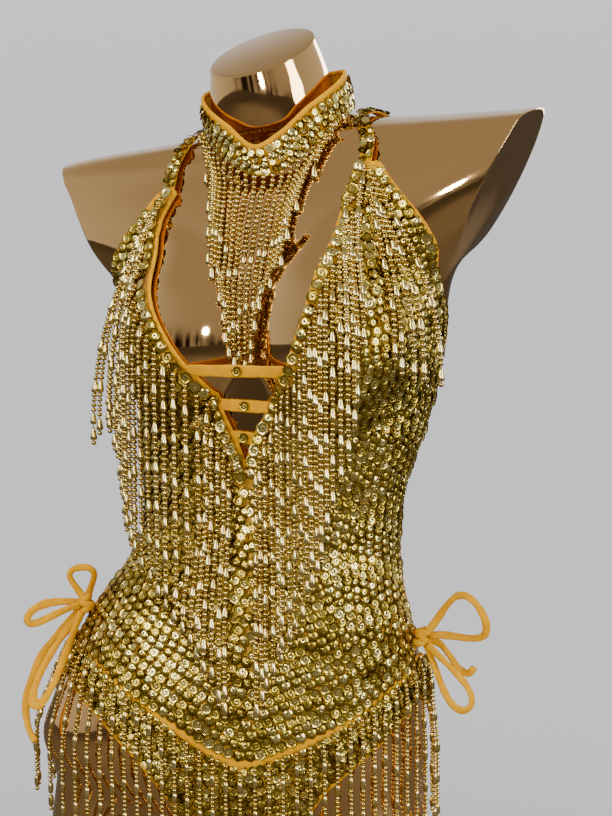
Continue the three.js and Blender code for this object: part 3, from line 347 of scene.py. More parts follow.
def soft_light(name, place, target, size, power, colour):
    """A round or oval softbox of a size in metres and a power in watts, turned to its target."""
    bpy.ops.object.light_add(type="AREA", location=place)
    light = bpy.context.object
    light.name = name
    light.data.shape = "ELLIPSE"
    light.data.size, light.data.size_y = size
    light.data.energy = power
    light.data.color = hex_colour(colour)[:3]
    light.rotation_euler = (Vector(target) - light.location).to_track_quat("-Z", "Y").to_euler()
    return light


key = soft_light("key_panel", (-1.5, -1.6, 1.8), (0, 0, 0.5), (1.1, 1.5), 48, "FFFAF2")
soft_light("fill_panel", (1.7, -1.2, 1.0), (0, 0, 0.5), (0.8, 1.5), 34, "F4F6FF")
soft_light("top_panel", (0.1, -0.5, 2.6), (0, 0, 0.5), (1.2, 1.2), 30, "FFFFFF").visible_glossy = False
soft_light("front_spot", (-0.15, -2.0, 0.95), (0, 0, 0.55), (0.22, 0.22), 12, "FFFFFF")
soft_light("back_panel", (1.3, 1.9, 1.2), (0, 0, 0.5), (1.2, 1.0), 26, "FFFFFF")

# ------------------------------------------------------------------ torso form
# A headless, armless display torso: blow-moulded plastic with a vacuum-plated champagne-gold mirror finish.
# The armholes and the neck are cut flat with small rounded rims, and it stands on two thigh stubs.
MM = 0.001
SHIFT = np.array([-24.7996, 3.5441, 0.0])
# The form's rings, in millimetres and degrees. power is 2 for an ellipse and more for a boxier ring.
RINGS = np.array([  # z, x, y, half width, front depth, back depth, power, turn, tilt, nod
    (124, -12, 4, 8, 6, 6, 2, -2, -0.01, 0), (127, -12, 4, 38, 30, 32, 2, -2, -0.01, 0),
    (134, -12, 4, 68, 50, 54, 2, -2, -0.02, 0), (149, -12, 4, 106, 69, 77, 2, -2, -0.04, 0),
    (175, -14, 4, 146, 84, 97, 2, -2, -0.06, 0), (215, -17, 4, 170, 93, 110, 2, -2, -0.07, 0),
    (260, -11, 3, 163, 94, 106, 2, -1, -0.075, 0), (305, -3, 1, 151, 92, 92, 2, 1, -0.07, 0),
    (350, 3, -2, 135, 86, 76, 2, 5, -0.055, 0), (390, 13, -3, 117, 80, 67, 2, 10, -0.03, 0),
    (425, 20, -3, 111, 76, 65, 2, 15, -0.01, 0), (460, 22, -1, 116, 77, 70, 2, 19, 0.01, 0),
    (505, 28, 2, 128, 83, 80, 2, 22, 0.03, 0), (550, 35, 4, 133, 87, 88, 2, 23, 0.05, 0),
    (595, 37, 5, 138, 88, 94, 2, 23, 0.065, 0), (632, 36, 6, 150, 84, 95, 2.1, 23, 0.08, 0),
    (655, 38, 7, 180, 79, 92, 2.3, 23, 0.1, 0), (685, 40, 8, 215, 72, 84, 2.5, 23, 0.12, 0),
    (712, 42, 8, 238, 62, 75, 2.5, 23, 0.13, 0.03), (731, 43, 7, 250, 52, 63, 2.5, 23, 0.13, 0.06),
    (743, 42, 5, 252, 45, 54, 2.5, 23, 0.13, 0.09), (750, 40, 4, 240, 39, 49, 2.2, 23, 0.13, 0.12),
    (754, 37, 3, 185, 38, 47, 1.9, 23, 0.13, 0.14), (757, 32, 2, 105, 38, 46, 1.8, 23, 0.14, 0.16),
    (762, 28, -1, 64, 43, 46, 2, 23, 0.17, 0.2), (772, 24, -4, 54, 47, 47, 2, 23, 0.23, 0.25),
    (797, 19.5, -9, 49.5, 48, 48, 2, 23, 0.29, 0.36), (822.5, 14.5, -14, 44, 44, 44, 2, 23, 0.3, 0.46),
], float)
FOOT, TOP = RINGS[0, 0], RINGS[-1, 0]
PELVIS, SHOULDERS = 175, 743  # the levels of the rings between which the sides stand nearly upright
BUST = {"z": 583, "side": 62, "forward": 50, "radius": 58, "up": 1.8, "down": 1.35, "soft": 1.6, "blend": 13}
THIGH = {"x": -14, "side": 98, "y": 8, "foot": 68, "top": 72, "height": 205, "draw": 0.16, "drawn from": 150,
         "end": 240}
CREASE = 14.0  # how far from where thigh and pelvis meet their skins blend


def along(table, column, at, key=0):
    """A soft curve through a table's rows, read at one or many places."""
    at = np.asarray(at, float)
    x, y = table[:, key], table[:, column]
    n = len(x)
    i = np.clip(np.searchsorted(x, at, side="right") - 1, 0, n - 2)
    before, after = np.maximum(np.arange(n) - 1, 0), np.minimum(np.arange(n) + 1, n - 1)
    slope = (y[after] - y[before]) / (x[after] - x[before])
    span = x[i + 1] - x[i]
    t = np.clip((at - x[i]) / span, 0, 1)
    return ((2 * t**3 - 3 * t**2 + 1) * y[i] + (t**3 - 2 * t**2 + t) * span * slope[i]
            + (3 * t**2 - 2 * t**3) * y[i + 1] + (t**3 - t**2) * span * slope[i + 1])


RING_STEPS = np.arange(FOOT, TOP + 0.01, 0.25)
RING_FINE = np.stack([along(RINGS, k, RING_STEPS) for k in range(10)], axis=1)


def ring_at(z):
    """The ring at a level: x, y, half width, front and back depth, power, turn, tilt and nod."""
    z = np.clip(z, FOOT, TOP)
    return [np.interp(z, RING_STEPS, RING_FINE[:, k]) for k in range(1, 10)]


def reach(phi, z):
    """Distance from a ring's middle to the skin, at phi degrees from its front towards +X."""
    _, _, half, front, back, power, _, _, _ = ring_at(z)
    s, c = np.sin(np.radians(phi)), np.cos(np.radians(phi))
    depth = np.where(c > 0, front, back)
    r = (np.abs(s / half) ** power + np.abs(c / depth) ** power) ** (-1 / power)
    tall = np.where(z > BUST["z"], BUST["up"], BUST["down"])
    level = 1 - ((z - BUST["z"]) / tall / BUST["radius"]) ** 2
    slice2 = BUST["radius"] ** 2 * np.maximum(level, 0) ** BUST["soft"]
    u, v, k = BUST["side"], BUST["forward"], BUST["blend"]
    middle = u * np.abs(s) + v * c
    half2 = slice2 - (u * u + v * v - middle**2)
    cup = middle + np.sqrt(np.maximum(half2, 0))
    full = k * np.logaddexp(r / k, cup / k)
    return np.where((level > 0) & (half2 > 0) & (middle > 0), full, r)


def on_ring(phi, z, r):
    """The point r from the middle of a ring, at phi degrees from its front."""
    x, y, _, _, _, _, turn, tilt, nod = ring_at(z)
    angle = np.radians(phi - turn)
    dx, dy = r * np.sin(angle), -r * np.cos(angle)
    return np.stack([x + dx, y + dy, z + tilt * dx + nod * dy], axis=-1)


def skin(phi, z, off=0.0):
    """Points of the skin at phi and z, moved out along its normals, and the normals."""
    phi, z = np.broadcast_arrays(np.asarray(phi, float), np.asarray(z, float))
    e = 1.5
    round_ = on_ring(phi + e, z, reach(phi + e, z)) - on_ring(phi - e, z, reach(phi - e, z))
    upward = on_ring(phi, z + e, reach(phi, z + e)) - on_ring(phi, z - e, reach(phi, z - e))
    normal = unit(np.cross(round_, upward))
    return on_ring(phi, z, reach(phi, z)) + normal * np.asarray(off, float)[..., None], normal


def height_of(phi, r, narrow, wide):
    """The level between two rings at which the skin is r from their middle."""
    a, b = np.full_like(phi, narrow), np.full_like(phi, wide)
    for _ in range(16):
        middle = (a + b) / 2
        inside = reach(phi, middle) < r
        a, b = np.where(inside, middle, a), np.where(inside, b, middle)
    return (a + b) / 2


def ring_gap(p):
    """About how far points are from the ringed skin: more than 0 outside it, less than 0 inside."""
    x, y, height = p[..., 0], p[..., 1], p[..., 2]
    z = height.copy()
    for _ in range(6):
        cx, cy, _, _, _, _, _, tilt, nod = ring_at(z)
        z = height - tilt * (x - cx) - nod * (y - cy)
    inside = np.clip(z, FOOT, TOP)
    cx, cy, _, _, _, _, turn, _, _ = ring_at(inside)
    dx, dy = x - cx, y - cy
    phi = np.degrees(np.arctan2(dx, -dy)) + turn
    r = np.hypot(dx, dy)
    flat = r - reach(phi, inside)
    low = (z < PELVIS) & (r < reach(phi, np.full_like(phi, PELVIS)))
    high = (z > SHOULDERS) & (r < reach(phi, np.full_like(phi, SHOULDERS)))
    under = height_of(phi, r, FOOT, PELVIS) - z
    over = z - height_of(phi, r, TOP, SHOULDERS)
    upright = np.where(low, under, over)
    both = np.sign(upright) * np.abs(flat * upright) / np.maximum(1e-6, np.hypot(flat, upright))
    both = np.where((z < FOOT) | ((z > TOP) & (flat < 0)), upright, both)
    return np.where(low | high, both, flat)


def thigh_width(z):
    """A thigh's radius: it widens upwards, and draws in again inside the pelvis."""
    wide = THIGH["foot"] + (THIGH["top"] - THIGH["foot"]) * z / THIGH["height"]
    return wide - THIGH["draw"] * np.maximum(z - THIGH["drawn from"], 0)


def thigh_gap(p):
    """How far points are from the nearer thigh stub, less than 0 inside."""
    side = THIGH["x"] + THIGH["side"] * np.sign(p[..., 0] - THIGH["x"])
    z = p[..., 2]
    return np.maximum(np.hypot(p[..., 0] - side, p[..., 1] - THIGH["y"]) - thigh_width(z), z - THIGH["end"])


def body_gap(p):
    """How far points are from the form, its thighs joined to the pelvis with a soft crease."""
    a, b = ring_gap(p), thigh_gap(p)
    h = np.maximum(CREASE - np.abs(a - b), 0) / CREASE
    return np.minimum(a, b) - h * h * CREASE / 4


def away_from(p, gap=body_gap, e=0.8):
    """The gap at points, and the direction in which it grows fastest."""
    g = gap(p)
    slope = np.stack([gap(p + d) - gap(p - d) for d in np.eye(3) * e], axis=-1) / (2 * e)
    size = np.linalg.norm(slope, axis=-1)
    return g / np.maximum(1, size), slope / np.maximum(size, 1e-9)[..., None]


def to_frame(p):
    """The form's own millimetres to the frame's metres."""
    return (p + SHIFT) * MM


def grid_faces(rows, cols, closed=False, start=0):
    """Four-sided faces over a grid of points, numbered row by row from start."""
    last = cols if closed else cols - 1
    j, i = np.meshgrid(np.arange(rows - 1), np.arange(last), indexing="ij")
    n = (i + 1) % cols
    quads = np.stack([j * cols + i, j * cols + n, (j + 1) * cols + n, (j + 1) * cols + i], axis=-1)
    return (quads.reshape(-1, 4) + start).tolist()


heights = np.unique(np.concatenate([
    np.linspace(124, 134, 10), np.linspace(134, PELVIS, 16), np.arange(PELVIS, 740, 5.0),
    np.arange(740, 775, 2.0), np.arange(775, TOP, 3.5), [TOP],
]))
turns = np.linspace(-180, 180, 181)[:-1]
phi, z = np.meshgrid(turns, heights)
shell = on_ring(phi, z, reach(phi, z))
verts = to_frame(shell.reshape(-1, 3))
faces = grid_faces(len(heights), len(turns), True)
count = len(turns)
faces.append(tuple(range(count))[::-1])
faces.append(tuple((len(heights) - 1) * count + i for i in range(count)))
chrome, shader = new_material("champagne_gold_vacuum_plating")
torso = mesh_piece("torso_form_plated", verts, faces, chrome)
turned_out(torso)

STUB_SIDES = 96
bpy.ops.object.select_all(action="DESELECT")
for side in (-1, 1):
    levels = np.concatenate([[0, 1.2, 3], np.arange(8, THIGH["end"], 5.0), [THIGH["end"]]])
    wide = thigh_width(levels)
    wide[:2] -= 1.5, 0.4  # the rounded edge of the flat cut
    angle = np.linspace(0, 2 * math.pi, STUB_SIDES + 1)[:-1]
    tube = np.stack([THIGH["x"] + side * THIGH["side"] + wide[:, None] * np.sin(angle),
                     THIGH["y"] - wide[:, None] * np.cos(angle),
                     np.repeat(levels[:, None], STUB_SIDES, axis=1)], axis=-1).reshape(-1, 3)
    last = (len(levels) - 1) * STUB_SIDES
    faces = grid_faces(len(levels), STUB_SIDES, True)
    faces += [tuple(range(STUB_SIDES))[::-1], tuple(range(last, last + STUB_SIDES))]
    stub = mesh_piece("thigh_stub", to_frame(tube), faces, chrome)
    turned_out(stub)
    bpy.context.view_layer.objects.active = torso
    join = torso.modifiers.new("join", "BOOLEAN")
    join.operation = "UNION"
    join.solver = "EXACT"
    join.object = stub
    bpy.ops.object.modifier_apply(modifier="join")
    bpy.data.objects.remove(stub)

# The points beside the join move onto the soft crease.
flesh = np.array([tuple(v.co) for v in torso.data.vertices]) / MM - SHIFT
near = (flesh[:, 2] < 260) & (flesh[:, 2] > 2)
soft = flesh[near]
for _ in range(6):
    gap, away = away_from(soft)
    joined = np.abs(ring_gap(soft) - thigh_gap(soft)) < CREASE
    soft = soft - away * (np.clip(gap, -4, 4) * joined)[:, None] * 0.9
flesh[near] = soft
for vertex, p in zip(torso.data.vertices, to_frame(flesh)):
    vertex.co = p


def rim_wall(outer, inner):
    """Corners and faces of a closed thin wall between two grids of points."""
    rows, cols = outer.shape[:2]
    n = rows * cols
    verts = np.concatenate([outer.reshape(-1, 3), inner.reshape(-1, 3)])
    faces = grid_faces(rows, cols) + [f[::-1] for f in grid_faces(rows, cols, start=n)]
    edge = [j * cols for j in range(rows)][::-1] + list(range(1, cols))
    edge += [j * cols + cols - 1 for j in range(1, rows)]
    edge += [(rows - 1) * cols + i for i in range(cols - 2, 0, -1)]
    for a, b in zip(edge, edge[1:] + edge[:1]):
        faces.append((b, a, a + n, b + n))
    return verts, faces


# Both armholes are cut flat by planes that lean out upwards. CUT_HALF is a plane's distance from the middle at
# ARM_LEVEL, ARMPIT the level that the cut starts from, and BESIDE a place well clear of the form.
ARM_LEVEL, ARMPIT, CUT_HALF, BESIDE = 752.0, 628, 218, 400
ring_x, ring_y, *_, ring_turn, ring_tilt, _ = [float(v) for v in ring_at(ARM_LEVEL)]
turn_cos, turn_sin = math.cos(math.radians(ring_turn)), math.sin(math.radians(ring_turn))


def arm_point(u, deep, level):
    """A point u aside and deep behind the middle of the shoulders' ring, on the form's turned axes."""
    x, y = ring_x + u * turn_cos - deep * turn_sin, ring_y - u * turn_sin - deep * turn_cos
    return x, y, level + ring_tilt * (u * turn_cos - deep * turn_sin)


for side, slope in ((-1, 0.6), (1, 0.54)):
    armpit_half = CUT_HALF + slope * (ARMPIT - ARM_LEVEL)
    edge = [(armpit_half + 6, 560), (armpit_half, ARMPIT), (CUT_HALF + slope * 48, 800)]
    near = [[arm_point(side * half, deep, level) for deep in (-150, 150)] for half, level in edge]
    far = [[arm_point(side * BESIDE, deep, level) for deep in (-150, 150)] for _, level in edge]
    block = mesh_piece("armhole_block", *rim_wall(to_frame(np.array(far)), to_frame(np.array(near))), chrome)
    turned_out(block)
    bpy.ops.object.select_all(action="DESELECT")
    bpy.context.view_layer.objects.active = torso
    torso.select_set(True)
    cut = torso.modifiers.new("cut", "BOOLEAN")
    cut.operation = "DIFFERENCE"
    cut.solver = "EXACT"
    cut.object = block
    bpy.ops.object.modifier_apply(modifier="cut")
    bpy.data.objects.remove(block)
# The neck's flat cut gets its small rounded rim.
bpy.ops.object.mode_set(mode="EDIT")
bpy.ops.mesh.select_mode(type="FACE")
bpy.ops.mesh.select_all(action="DESELECT")
bpy.ops.object.mode_set(mode="OBJECT")
for face in torso.data.polygons:
    face.select = len(face.vertices) == count and face.center.z > 0.7
bpy.ops.object.mode_set(mode="EDIT")
bpy.ops.mesh.region_to_loop()
bpy.ops.mesh.bevel(offset=0.0016, segments=3, profile=0.5)
bpy.ops.object.mode_set(mode="OBJECT")
bpy.ops.object.shade_smooth_by_angle(angle=math.radians(38))

# A thin metal film under clear lacquer: a clean mirror with faint waviness from the moulded plastic.
shader.inputs["Base Color"].default_value = hex_colour("E9BC7C")
shader.inputs["Metallic"].default_value = 1.0
place = add_node(chrome, "ShaderNodeTexCoord")
haze = add_node(chrome, "ShaderNodeTexNoise", None, {"Scale": 14, "Detail": 3},
                [(place.outputs["Object"], "Vector")])
dull = add_node(chrome, "ShaderNodeMapRange", None,
                {"From Min": 0.35, "From Max": 0.75, "To Min": 0.035, "To Max": 0.09},
                [(haze.outputs["Fac"], "Value")])
chrome.node_tree.links.new(dull.outputs["Result"], shader.inputs["Roughness"])
wave = add_node(chrome, "ShaderNodeTexNoise", None, {"Scale": 9, "Detail": 1},
                [(place.outputs["Object"], "Vector")])
# The moulded rims round the flat ends catch the light as edges rounded to about 2 mm.
rounded = add_node(chrome, "ShaderNodeBevel", {"samples": 6}, {"Radius": 0.002})
moulded = add_node(chrome, "ShaderNodeBump", None, {"Strength": 0.25, "Distance": 0.002},
                   [(wave.outputs["Fac"], "Height"), (rounded.outputs["Normal"], "Normal")])
chrome.node_tree.links.new(moulded.outputs["Normal"], shader.inputs["Normal"])
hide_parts("torso_form")
# The key panel leaves out the form, so that no glare from it lies on the chest behind the strands.
key_sees = bpy.data.collections.new("key_panel_receivers")
key_sees.objects.link(torso)
key_sees.collection_objects[0].light_linking.link_state = "EXCLUDE"
key.light_linking.receiver_collection = key_sees

# ------------------------------------------------------------------ front and brief panels
# Stretch mesh panels cut to the body and covered in sequins; the base cloth shows yellow between the rows.
# Each panel is pulled smooth by the ties and seams, with soft ripples only beside the hips and under the bust.
EDGES = np.array([  # z, then angles of the inner right, inner left, outer right and outer left edge
    (225, 6, 6, -80, 78), (310, 3.5, 3.5, -80, 78), (335, 2.5, 2.5, -80, 83), (360, 2, 2, -76, 83),
    (402, 1.5, 1.5, -77, 86), (440, 2, 2, -82, 88), (474, 3.8, 3.8, -86, 89), (478, 3.9, 4.1, -86, 89),
    (503, -3.5, 9, -87, 90), (531, -14, 17, -88, 91), (560, -22, 23.5, -89, 90.5), (594, -31, 28, -87, 88),
    (633, -42, 35, -77, 77.5), (660, -49, 41.5, -68.5, 68.5), (690, -54.5, 48.5, -62.5, 62),
    (718, -56, 54, -61, 60),
], float)
HEM = np.array([  # angle, z of the V hem
    (-86, 313), (-68, 301), (-56, 287), (-44, 274), (-30, 260), (-12, 243), (6, 234), (24, 246), (49, 270),
    (65, 295), (86, 314),
], float)
LEGS = np.array([  # z, right, left, back
    (172, 26.25, 33, 33), (185, 29, 36, 40), (205, 34, 41, 51), (227, 43, 51, 64), (243, 52, 59.5, 74),
    (257, 60, 65, 82), (270, 69, 71, 90), (284, 80, 78, 101.8),
], float)
GUSSET = np.array([  # angle below level, half width of the crotch strip in front, behind
    (27, 37, 47), (40, 29, 37), (53, 24, 29), (66, 21, 23), (79, 20, 20), (89.8, 19.5, 19.5),
], float)
INNER, OUTER, HALF_CLOTH = 2.4, 3.6, 0.6  # the cloth's two faces, out from the skin, and half its thickness
MIDDLE = (OUTER + INNER) / 2
SHOULDER_POINT, V_POINT = 718, 476  # heights of a front panel's top and of the neckline's lowest point
SEAM_GAP = 0.2  # half the gap at a seam
RIPPLE = 0.5  # height of the ripples


def front_place(side, f, t, off):
    """A front panel's point: f from the centre to the side, t from the hem to the shoulder point."""
    f, t = np.broadcast_arrays(np.asarray(f, float), np.asarray(t, float))
    inner, outer = (1, 3) if side < 0 else (2, 4)
    z = np.full(f.shape, 300.0)
    for _ in range(14):
        seam = math.copysign(SEAM_GAP, side) / reach(np.zeros_like(z), z) / math.pi * 180
        start = along(EDGES, inner, z) + seam
        phi = start + (along(EDGES, outer, z) - start) * f
        low = along(HEM, 1, phi) + SEAM_GAP
        z = low + (SHOULDER_POINT - low) * t
    return skin(phi, z, off)


def ripples(p, size):
    """Soft ripples of stretched cloth, strongest beside the hips and under the bust."""
    x, z = p[..., 0], p[..., 2]
    hips = np.exp(-(((z - 330) / 38) ** 2)) * np.clip((np.abs(x - 5) - 75) / 55, 0, 1)
    ribs = np.exp(-(((z - 520) / 22) ** 2)) * np.clip((np.abs(x - 30) - 30) / 60, 0, 1)
    wave = np.sin(z / 5.2 + 0.05 * np.abs(x)) * hips + 0.6 * np.sin(z / 7.5 + 0.03 * x) * ribs
    return wave * size


# Power-net base cloth in yellow, warp-knitted; matt beside the sequins that cover it.
net_cloth, shader = new_material("stretch_net_yellow")
shader.inputs["Roughness"].default_value = 0.75
shader.inputs["Sheen Weight"].default_value = 0.2
place = add_node(net_cloth, "ShaderNodeTexCoord")
# Its knitted cells are about 2 mm wide, drawn at their real size; each is painted darker in its sunken middle
# as painted shade.
cells = add_node(net_cloth, "ShaderNodeTexVoronoi", {"feature": "F1"}, {"Scale": 520},
                 [(place.outputs["Object"], "Vector")])
shade = add_node(net_cloth, "ShaderNodeValToRGB", None, None, [(cells.outputs["Distance"], "Fac")])
shade.color_ramp.elements[0].color = hex_colour("A47200")
shade.color_ramp.elements[0].position = 0.1
shade.color_ramp.elements[1].color = hex_colour("CE9600")
shade.color_ramp.elements[1].position = 0.6
net_cloth.node_tree.links.new(shade.outputs["Color"], shader.inputs["Base Color"])
holes = add_node(net_cloth, "ShaderNodeBump", None, {"Strength": 0.4, "Distance": 0.0006},
                 [(cells.outputs["Distance"], "Height")])
net_cloth.node_tree.links.new(holes.outputs["Normal"], shader.inputs["Normal"])


def cloth_area(points):
    """The area of a grid of points, from the diagonals of its cells."""
    a = points[1:, 1:] - points[:-1, :-1]
    b = points[1:, :-1] - points[:-1, 1:]
    return float(np.linalg.norm(np.cross(a, b), axis=-1).sum() / 2)


def cloth_piece(name, node, points, normals):
    """A panel: its middle surface with normals becomes a thin closed wall."""
    lift = MIDDLE + ripples(points, RIPPLE)
    outer = to_frame(points + normals * (lift + HALF_CLOTH)[..., None])
    inner = to_frame(points + normals * (lift - HALF_CLOTH)[..., None])
    verts, faces = rim_wall(outer, inner)
    panel = mesh_piece(name, verts, faces, net_cloth)
    turned_out(panel)
    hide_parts(node)
    return panel, cloth_area(outer)


panel_maps = {}  # each panel's grid of points and normals on the skin
cloth_pieces = {}  # each panel's piece and its area as worn
for side, word in ((-1, "right"), (1, "left")):
    f, t = np.meshgrid(np.linspace(0, 1, 49), np.linspace(0, 1, 141))
    points, normals = front_place(side, f, t, np.zeros_like(f))
    cloth_pieces[f"front_{word}"] = cloth_piece(f"front_{word}_cloth", f"front_{word}", points, normals)
    panel_maps[f"front_{word}"] = (points, normals)


def leg_height(angle, column):
    """The leg edge's height at an angle from the middle of the front or the back."""
    return np.interp(angle, LEGS[:, column], LEGS[:, 0])


def gusset_rows(lean, wide, front, count):
    """Points of the crotch strip, where rays from a line inside the form meet its skin; also the ways out."""
    across = np.linspace(-1, 1, count)[None]
    facing = 1 if front else -1
    origin = np.stack(np.broadcast_arrays(-13 + facing * across * wide[:, None], 4.0, 200.0), axis=-1)
    tip = np.radians(lean)[:, None]
    way = np.stack(np.broadcast_arrays(0.0, -facing * np.cos(tip) + 0 * across, -np.sin(tip)), axis=-1)
    nearest = lambda q: np.minimum(ring_gap(q), thigh_gap(q))
    far = np.full(origin.shape[:2], 190.0)
    for _ in range(120):
        far = far - nearest(origin + way * far[..., None]) * 0.7
    p = origin + way * far[..., None]
    return p, away_from(p, nearest)[1]


STRIP = 13  # columns of the crotch strip
strip_starts = {}  # the column of each brief panel at which its strip starts
for front in (True, False):
    if front:
        right, left = np.linspace(-80, -26.25, 19)[:-1], np.linspace(33, 78, 17)[1:]
        middle_columns = np.linspace(-26.25, 33, STRIP)
        columns = np.concatenate([right, middle_columns, left])
        top = along(HEM, 1, columns) - SEAM_GAP
        low = np.where(columns < 0, leg_height(-columns, 1), leg_height(columns, 2))
        phi = columns
    else:
        right, left = np.linspace(-101.8, -33, 22)[:-1], np.linspace(33, 98.5, 22)[1:]
        middle_columns = np.linspace(-33, 33, STRIP)
        columns = np.concatenate([right, middle_columns, left])
        top = 280 + 32 * np.abs(columns / 100) ** 1.6
        low = leg_height(np.abs(columns), 3)
        phi = 180 + columns
    first = len(right)
    inside = (np.arange(len(columns)) >= first) & (np.arange(len(columns)) < first + STRIP)
    low = np.where(inside, 172, low)
    share = np.linspace(0, 1, 26)[:, None]
    z = top + (low - top) * share
    points, normals = skin(np.broadcast_to(phi, z.shape), z, np.zeros_like(z))
    word = "front" if front else "back"
    leans = np.linspace(27, 89.8, 17)
    p, n = gusset_rows(leans, np.interp(leans, GUSSET[:, 0], GUSSET[:, 1 if front else 2]), front, STRIP)
    strip_points = np.concatenate([points[-1:, first : first + STRIP], p])
    strip_normals = np.concatenate([normals[-1:, first : first + STRIP], n])
    outer, inner = [to_frame(points + normals * (MIDDLE + step)) for step in (HALF_CLOTH, -HALF_CLOTH)]
    outer_strip, inner_strip = [to_frame(strip_points + strip_normals * (MIDDLE + step))
                                for step in (HALF_CLOTH, -HALF_CLOTH)]
    bm = bmesh.new()
    for a, b in ((outer, inner), (outer_strip, inner_strip)):
        wall_verts, wall_faces = rim_wall(a, b)
        made = [bm.verts.new(v) for v in wall_verts]
        for f in wall_faces:
            bm.faces.new([made[i] for i in f])
    bmesh.ops.remove_doubles(bm, verts=bm.verts, dist=0.00002)
    # The two end walls between panel and strip lie on each other, and are taken out.
    doubled = [f for f in bm.faces if all(any(g is not f and g.calc_center_median() == f.calc_center_median()
               for g in e.link_faces) for e in f.edges)]
    bmesh.ops.delete(bm, geom=doubled, context="FACES_ONLY")
    bmesh.ops.recalc_face_normals(bm, faces=bm.faces)
    mesh = bpy.data.meshes.new(f"brief_{word}_cloth")
    bm.to_mesh(mesh)
    bm.free()
    mesh.materials.append(net_cloth)
    mesh.shade_smooth()
    panel = bpy.data.objects.new(f"brief_{word}_cloth", mesh)
    bpy.context.collection.objects.link(panel)
    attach(panel, "root")
    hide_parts(f"brief_{word}")
    cloth_pieces[f"brief_{word}"] = (panel, cloth_area(outer) + cloth_area(outer_strip))
    panel_maps[f"brief_{word}"] = (points, normals)
    panel_maps[f"gusset_{word}"] = (strip_points, strip_normals)
    strip_starts[word] = first

# ------------------------------------------------------------------ sequins on the panels
# Hexagonal cup sequins, 10 mm, pressed from gold PET film and sewn in rows that follow the hem, each through
# its hole. They overlap a little and no two lie at the same angle, so each one catches the room in its own
# way. Some are sewn face down.


def cup_sequin(radius, depth, hole):
    """A hexagonal sequin with a lipped hole, its rim bent down by depth, or up where that is negative."""
    six = np.arange(6) * math.pi / 3
    ring = np.stack([np.cos(six), np.sin(six), np.zeros(6)], axis=1)
    levels = [(radius, -depth), (radius * 0.85, 0), (hole + 0.0011, 0), (hole, 0.0007), (hole, -0.0002),
              (radius * 0.85, -0.0002), (radius - 0.0001, -depth - 0.0002)]
    # Painted light for each ring of corners: painted shade on the bent rim and the underside, and a painted
    # highlight on the hole's lip.
    painted_light = np.repeat([-0.35, 0.0, 0.05, 0.7, 0.3, -0.35, -0.45], 6)
    verts = np.concatenate([ring * r + (0, 0, h) for r, h in levels])
    faces = []
    for k in range(len(levels)):
        for i in range(6):
            j, m = (i + 1) % 6, (k + 1) % len(levels)
            faces.append((k * 6 + i, k * 6 + j, m * 6 + j, m * 6 + i))
    return verts, in_threes(faces), painted_light


def in_threes(faces):
    """Every face as triangles."""
    return np.array([(f[0], f[k], f[k + 1]) for f in faces for k in range(1, len(f) - 1)])


def scattered(name, shapes, places, axes, sizes, tones, material, smooth=False):
    """Copies of small shapes of equal face counts as one piece, each with its place, axes, size and tone."""
    base, faces, painted_light = shapes[0]
    n, m = len(places), len(base)
    bases = np.array([shape[0] for shape in shapes])[np.arange(n) * 7 // 4 % len(shapes)]
    turned_bases = np.einsum("nij,nmj->nmi", np.transpose(axes, (0, 2, 1)), bases)
    verts = turned_bases * sizes[:, None, None] + places[:, None]
    corners = faces.shape[1]
    loops = (faces[None] + (np.arange(n) * m)[:, None, None]).reshape(-1)
    mesh = bpy.data.meshes.new(name)
    mesh.vertices.add(n * m)
    mesh.vertices.foreach_set("co", verts.reshape(-1))
    mesh.loops.add(len(loops))
    mesh.loops.foreach_set("vertex_index", loops)
    mesh.polygons.add(n * len(faces))
    mesh.polygons.foreach_set("loop_start", np.arange(0, len(loops), corners))
    mesh.update(calc_edges=True)
    tone = mesh.attributes.new("tone", "FLOAT", "POINT")
    # Each corner's tone is its copy's tone plus its shape's painted light: painted shade and a painted
    # highlight on sequins, none on beads.
    tone.data.foreach_set("value", (tones[:, None] + painted_light).reshape(-1).astype(np.float32))
    mesh.materials.append(material)
    if smooth:
        mesh.shade_smooth()
    piece = bpy.data.objects.new(name, mesh)
    bpy.context.collection.objects.link(piece)
    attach(piece, "root")
    return piece


def leaned(out, up, rng, shingle, jitter):
    """Axes of flat trims: z away from the cloth, leaned like a shingle and knocked a little out of true."""
    n = len(out)
    x = unit(np.cross(up, out))
    y = np.cross(out, x)
    a = rng.normal(0, jitter, n) + shingle
    b = rng.normal(0, jitter, n)
    z = unit(out + y * np.tan(a)[:, None] + x * np.tan(b)[:, None])
    x = unit(np.cross(y, z))
    y = np.cross(z, x)
    spin = rng.uniform(0, math.pi / 3, n)
    c, s = np.cos(spin)[:, None], np.sin(spin)[:, None]
    return np.stack([x * c + y * s, y * c - x * s, z], axis=1)


# Metallised polyester film: a gold mirror whose tone shifts from piece to piece. The pressing dulls the bent
# rim;
# the rim and the underside are painted darker as painted shade, and the lip of the hole is painted bright as a
# painted highlight.
film, shader = new_material("sequin_film_gold")
shader.inputs["Metallic"].default_value = 1.0
piece_tone = add_node(film, "ShaderNodeAttribute", {"attribute_name": "tone"})
shade = add_node(film, "ShaderNodeValToRGB", None, None, [(piece_tone.outputs["Fac"], "Fac")])
shade.color_ramp.elements[0].color = hex_colour("44350C")
shade.color_ramp.elements[1].color = hex_colour("F4E694")
for position, colour in ((0.22, "8E7422"), (0.6, "C6A93E")):
    warm = shade.color_ramp.elements.new(position)
    warm.color = hex_colour(colour)
film.node_tree.links.new(shade.outputs["Color"], shader.inputs["Base Color"])
worn = add_node(film, "ShaderNodeMapRange", None, {"To Min": 0.34, "To Max": 0.19},
                [(piece_tone.outputs["Fac"], "Value")])
film.node_tree.links.new(worn.outputs["Result"], shader.inputs["Roughness"])
